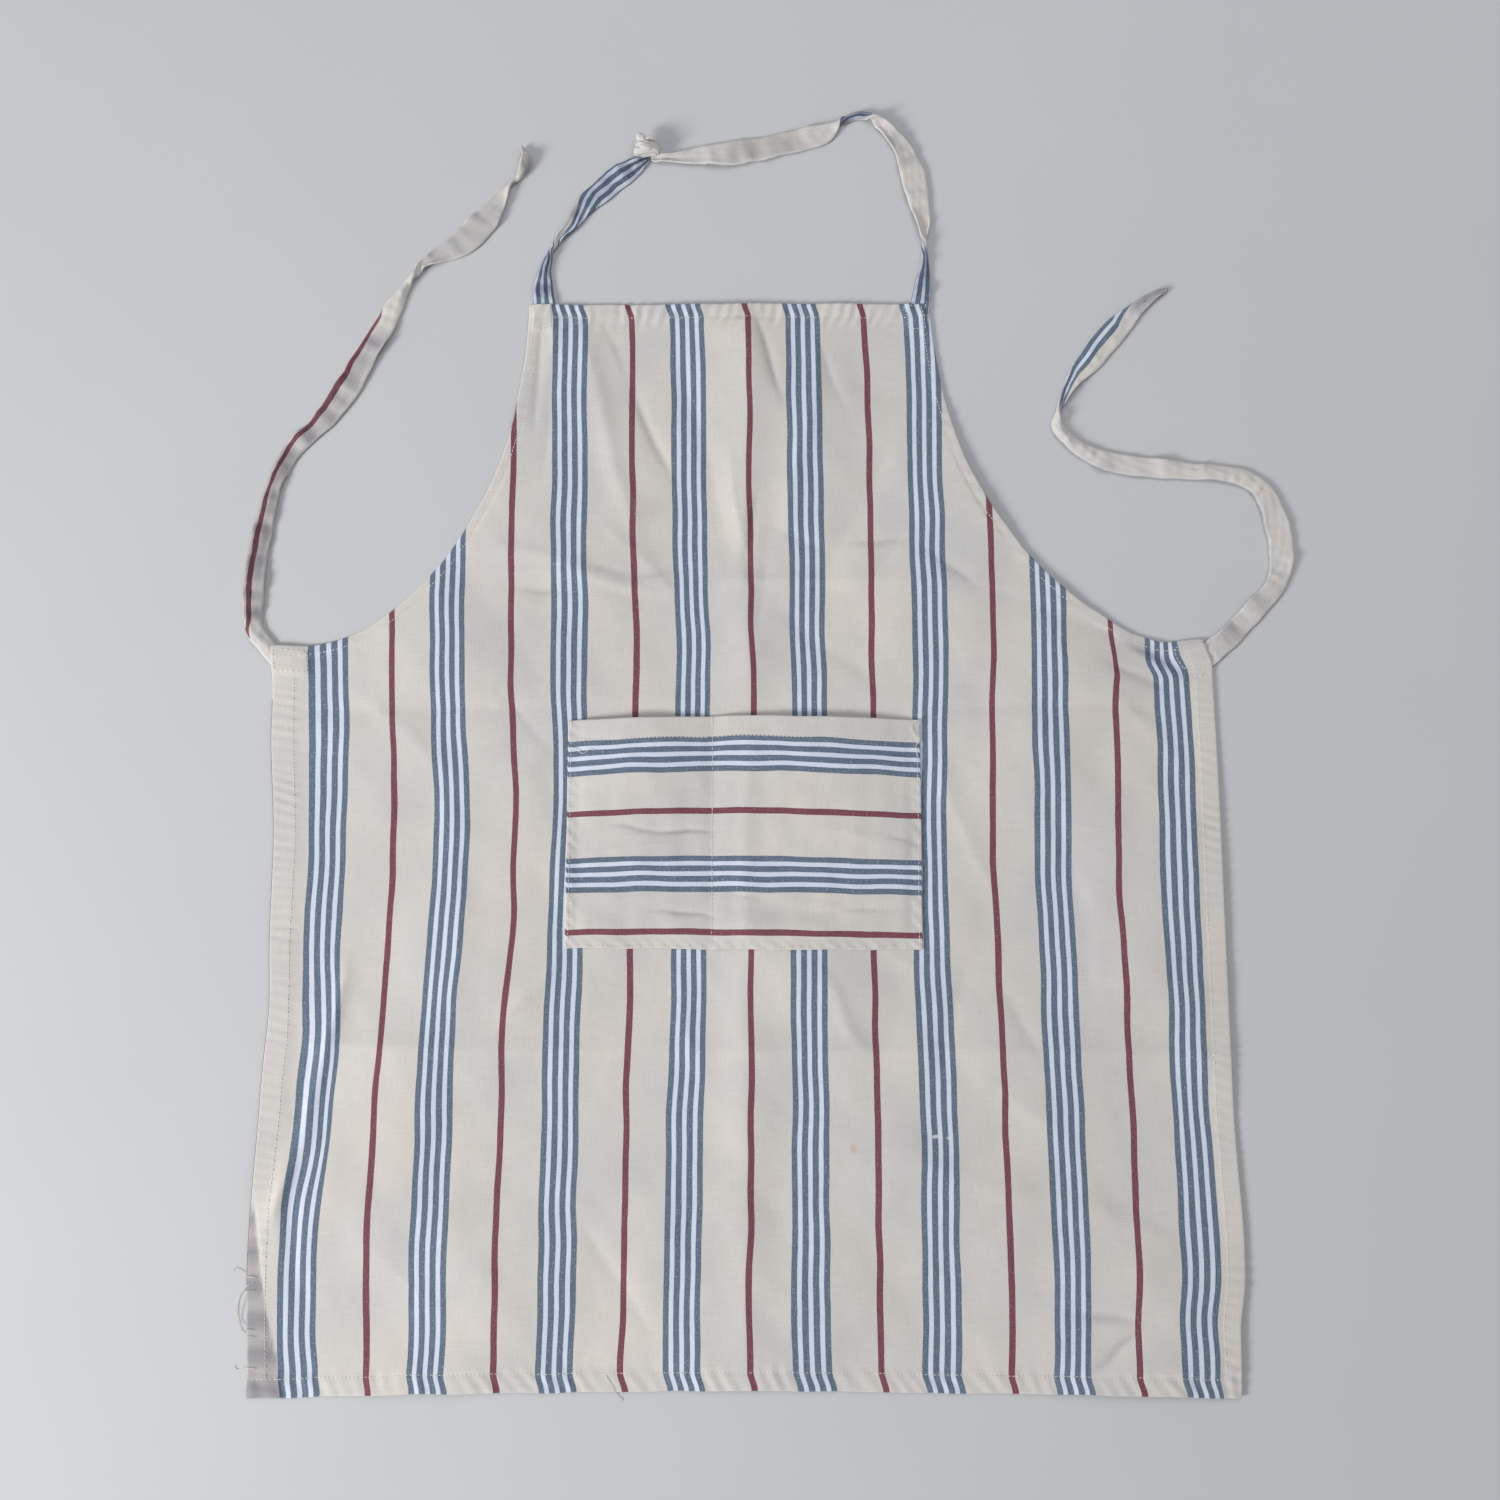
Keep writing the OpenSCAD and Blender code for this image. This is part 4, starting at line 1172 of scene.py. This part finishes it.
def add_strap(name, route, turns, front, back, painted_shades, seed, material, nodes, rim_like_back=False):
    """Flat strap laid along a route, which turns over where turns say.

    turns holds (distance, half turns, length), and painted_shades holds the stretches of painted shade (from,
    to, amount), in millimetres.
    front and back say how each face lies on the weave."""
    path = catmull(np.array(route) * MM, 7)
    xy, width = path[:, :2], path[:, 2:]
    ahead = unit(np.gradient(xy, axis=0))
    side = np.stack([-ahead[:, 1], ahead[:, 0]], axis=1)
    run = np.concatenate([[0], np.cumsum(np.hypot(*np.diff(xy, axis=0).T))])[:, None]
    end = float(run[-1, 0])
    roll = gather = painted_shade = 0 * run
    for at, half_turns, length in turns:
        roll = roll + math.pi * half_turns * smooth(run, (at - length / 2) * MM, (at + length / 2) * MM)
        gather = np.maximum(gather, bell(run - at * MM, 0.40 * length * MM))
    # painted shade: stretches of the strap darkened as if in shadow
    for low, high, amount in painted_shades:
        painted_shade = painted_shade + amount * between(run, low * MM, (low + 14) * MM, (high - 14) * MM, high * MM)
    # it is narrow and thick where it turns over, and cups where it looks narrower than it is
    thick = STRAP_T * (1 + 1.3 * gather)
    full = width * (1 - gather) + np.minimum(width, 10 * MM) * gather
    fade = np.minimum(np.minimum(1.0, run / (30 * MM)), (end - run) / (6 * MM) + 0.15)
    cup = 5 * MM * np.maximum(0, 1 - width / STRAP_W) * fade * (1 - gather)
    flat, high = strap_section(full, thick, cup)
    share = flat / (full / 2)
    ribs = 1.15 * waves(run, 0.35 * flat, 0.017, seed, 5) + 0.55 * waves(run, 1.2 * flat, 0.0085, seed + 3, 5)
    tilt = 1.6 * waves(run, 0, 0.075, seed + 7, 5)
    high = high + (ribs * (0.75 + 0.25 * share ** 2) + tilt * share) * fade * MM
    flat = flat + 0.55 * MM * waves(run, 0.2 * np.sign(share), 0.024, seed + 9, 5) * fade
    rolled = flat * np.cos(roll) - high * np.sin(roll)
    high = flat * np.sin(roll) + high * np.cos(roll)
    high = high - high.min(axis=1, keepdims=True) + OVER_FLOOR
    rings = np.dstack([xy[:, None] - side[:, None] * rolled[..., None], high])

    upper = np.arange(flat.shape[1]) < FACE_POINTS + (not rim_like_back)
    across = np.where(upper, face_weave(run, share, front), face_weave(run, share, back))
    # painted shade in bands across the strap, like the shadows of its wrinkles, kept off its rims
    bands = 0.85 + 0.5 * waves(run, 0.2 * flat, 0.016, seed + 5)
    shade = np.clip(painted_shade * (1 - np.abs(share) ** 6) * bands, 0, 1)
    weave = np.dstack([across, run + 0 * share, shade])
    # rounded end: two rings drawn in
    middle = rings[-1].mean(axis=0)
    tips = [middle + (rings[-1] - middle) * (drawn, drawn, 0.9) for drawn, _ in TIP_RINGS]
    for tip, (_, forward) in zip(tips, TIP_RINGS):
        tip[:, :2] += ahead[-1] * forward
    rings = np.concatenate([rings, tips])
    weave = np.concatenate([weave, weave[-1:], weave[-1:]]).reshape(-1, 3)
    faces = tube_faces(*rings.shape[:2])
    strap = new_mesh(name, rings.reshape(-1, 3), faces, weave, material)
    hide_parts(*nodes)
    return strap


def moved(route, x, y):
    """Route moved to its place, given in metres."""
    return [(px + x / MM, py + y / MM, w) for px, py, w in route]


# Place on the weave of the middle of a face, in millimetres: distance along the strap and place.
# The red line leaves the root of the left tie, and runs nearer to its edge towards the tip.
TIE_LEFT_PLACE = [(0, 18), (40, 18), (58, 7.6), (200, 8), (250, 11), (345, 13.5), (375, 20)]
TIE_RIGHT_BACK = [(387, -54), (425, -61), (480, -63), (502, -74)]
NECK_LEFT_BACK = [(78, -32), (98, -34), (135, -47)]


def bend_tie(strap):
    """Bakes the tie's transform into its mesh."""
    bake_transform(strap)


def add_ties(material):
    """Waist ties with their sewn ends behind the corners of the skirt."""
    # the list after the two faces of each strap holds its stretches of painted shade
    left = add_strap(
        "tie_left_strap", moved(TIE_LEFT, -TIE_X, TIE_Y), [(393, 1, 26), (514, 0.8, 18)],
        (TIE_LEFT_PLACE, 1.0), (22, 1.0),
        [(46, 215, 1.0), (210, 345, 0.6), (405, 500, 0.4), (504, 560, 0.6)],
        1, material, ("tie_left", "tie_left_sewn_end"))
    bend_tie(left)
    right = add_strap(
        "tie_right_strap", moved(TIE_RIGHT, TIE_X, TIE_Y), [(386, 1, 26)],
        (-16, 1.0), (TIE_RIGHT_BACK, 1.25),
        [(26, 62, 0.55), (70, 110, 0.25), (386, 420, 0.35), (494, 560, 0.6)],
        2, material, ("tie_right", "tie_right_sewn_end"))
    bend_tie(right)


def neck_route(side, route, first, second):
    """Route of a neck strap from behind its corner of the bib; first and second shift its start."""
    x = (NECK_ENDS[side][0][0] + NECK_ENDS[side][1][0]) / 2 / MM
    y = TOP / MM
    return [(x + first, y - 22, 18), (x + second, y - 9, 18)] + moved(route, LEAN_TOP, TOP)


def add_neck_straps(blue, cream):
    """Neck straps from behind the bib's top corners to the knot."""
    # the list after the two faces of each strap holds its stretches of painted shade
    left = add_strap(
        "neck_strap_left_cloth", neck_route(-1, NECK_LEFT, 2, 1), [(75, 1, 28)],
        (-47, 1.15), (NECK_LEFT_BACK, 1.15), [(20, 78, 0.9), (96, 210, 0.65)],
        3, blue, ("neck_strap_left", "neck_strap_left_sewn_end"))
    right = add_strap(
        "neck_strap_right_cloth", neck_route(1, NECK_RIGHT, 0, 0), [(75, 1, 24), (205, 1, 18), (236, 1, 16)],
        (-50, 1.0), (-78, 1.0), [(20, 78, 0.85), (145, 196, 0.55), (200, 244, 0.8), (262, 345, 0.45)],
        4, cream, ("neck_strap_right", "neck_strap_right_sewn_end"), True)
    for strap in (left, right):
        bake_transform(strap)


# ---- Knot ----

ROLL_SIDES = 22  # points of a ring round a roll of cloth
KNOT_SHIFT = (-2.6 * MM, -1.2 * MM, 0)  # of the coils, from the middle of the knot's box


def folded_tube(stops, seed, loop=False):
    """Rings and faces of a rounded roll of cloth through stops (x, y, z, width, height), in millimetres.

    Each point of the rings is followed by its place on the weave and its painted shade, darker on the
    underside of the roll."""
    steps = 9
    route = np.array(stops, float) * MM
    if loop:
        path = catmull(np.concatenate([route[-1:], route, route[:2]]), steps)[steps: -steps - 1]
        ahead = np.roll(path[:, :3], -1, axis=0) - np.roll(path[:, :3], 1, axis=0)
    else:
        path = catmull(route, steps)
        ahead = np.gradient(path[:, :3], axis=0)
    ahead = unit(ahead)
    upright = np.where(np.abs(ahead[:, 2:]) < 0.9, (0.0, 0.0, 1.0), (1.0, 0.0, 0.0))
    across = unit(np.cross(ahead, upright))[:, None]
    up = np.cross(across, ahead[:, None])
    k = np.arange(len(path))[:, None, None]
    turn = 2 * math.pi * np.arange(ROLL_SIDES)[:, None] / ROLL_SIDES
    wide = path[:, None, 3:4] / 2 * np.cos(turn)
    deep = path[:, None, 4:] / 2 * np.sin(turn)
    fold = 1 + 0.10 * np.sin(5 * turn + 0.35 * k + seed) + 0.05 * np.sin(9 * turn - 0.2 * k)
    points = path[:, None, :3] + (across * wide + up * deep) * fold
    # painted shade: the underside of each roll is darker, as if in its own shadow
    shade = 0.25 * np.maximum(0, -np.sin(turn)) + 0 * wide
    rings = np.concatenate([points, 0.8 * wide - 16 * MM, 0.9 * MM * k + 0 * wide, shade], axis=2)
    return rings.reshape(-1, 6), tube_faces(len(path), ROLL_SIDES, loop)


def knot_piece(name, rolls, node, material):
    """One mesh of rolls of cloth that are placed about the middle of the knot."""
    rings, faces = joined(rolls)
    points = rings[:, :3] + np.mean(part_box("neck_knot"), axis=0) + KNOT_SHIFT
    points[:, 2] = np.maximum(points[:, 2], OVER_FLOOR)
    piece = new_mesh(name, points, faces, rings[:, 3:], material)
    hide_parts(node)
    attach(piece, "neck_loop")


def ring_stops(x, y, wide, deep, thick, tilt):
    """Stops of a coil that lies across the strap, seen from its edge."""
    turns = [2 * math.pi * k / 10 for k in range(10)]
    places = [(math.cos(a), math.sin(a)) for a in turns]
    return [(x + wide * c, y + tilt * c, deep * s, thick, thick * 0.92) for c, s in places]


# Rolls of the knot, in millimetres: x, y, z, width and height at each point
CROSSING = [(-6, -2, 1.6, 4, 3), (-2, -3.4, 5.0, 5.5, 4), (3, -3.6, 5.0, 5.5, 4), (7.5, -1, 1.6, 4, 3)]
TAIL_LEFT = [
    (0, 1, 1, 5, 4), (-2.6, 4.6, 1.6, 6.6, 5), (-4.6, 7.6, 1.2, 7.4, 5.6), (-5.4, 10.2, 0.6, 6.2, 4.8),
    (-5.2, 12.0, 0.2, 2.6, 2.2),
]
TAIL_RIGHT = [
    (-2, 4.5, 0.5, 5, 4), (1.4, 6.6, 1.4, 5.6, 4.6), (4.8, 6.4, 1.0, 5.2, 4.2), (7.6, 4.6, 0.4, 4.2, 3.4),
    (9.2, 3.2, 0.2, 1.8, 1.6),
]


def add_knot(material):
    """Overhand knot: two coils of cloth, one on the other, and the short ends out of its top."""
    coils = [
        folded_tube(ring_stops(0.6, -4.4, 8.6, 2.7, 6.6, 0.6), 1, loop=True),
        folded_tube(ring_stops(0.2, 0.4, 7.0, 2.5, 6.0, -0.7), 2, loop=True),
        folded_tube(CROSSING, 3),
    ]
    knot_piece("knot_cloth", coils, "neck_knot", material)
    left, right = [folded_tube(TAIL_LEFT, 4)], [folded_tube(TAIL_RIGHT, 5)]
    knot_piece("knot_tail_left_cloth", left, "knot_tail_left", material)
    knot_piece("knot_tail_right_cloth", right, "knot_tail_right", material)


# ---- Assembly ----

add_camera()
add_studio()
cloth_look = twill("striped_twill", spots=MARKS)
hem_look = twill("hem_twill")
pocket_look = twill("pocket_twill", POCKET_RED)
blue_look = twill("blue_strap")
cream_look = twill("cream_strap")
thread_look = thread_material()
add_ties(cream_look)
add_neck_straps(blue_look, cream_look)
add_knot(cream_look)
add_cloth(cloth_look, add_hems(hem_look))
add_seams(thread_look)
add_pocket(pocket_look, hem_look)
add_pocket_seams(thread_look)
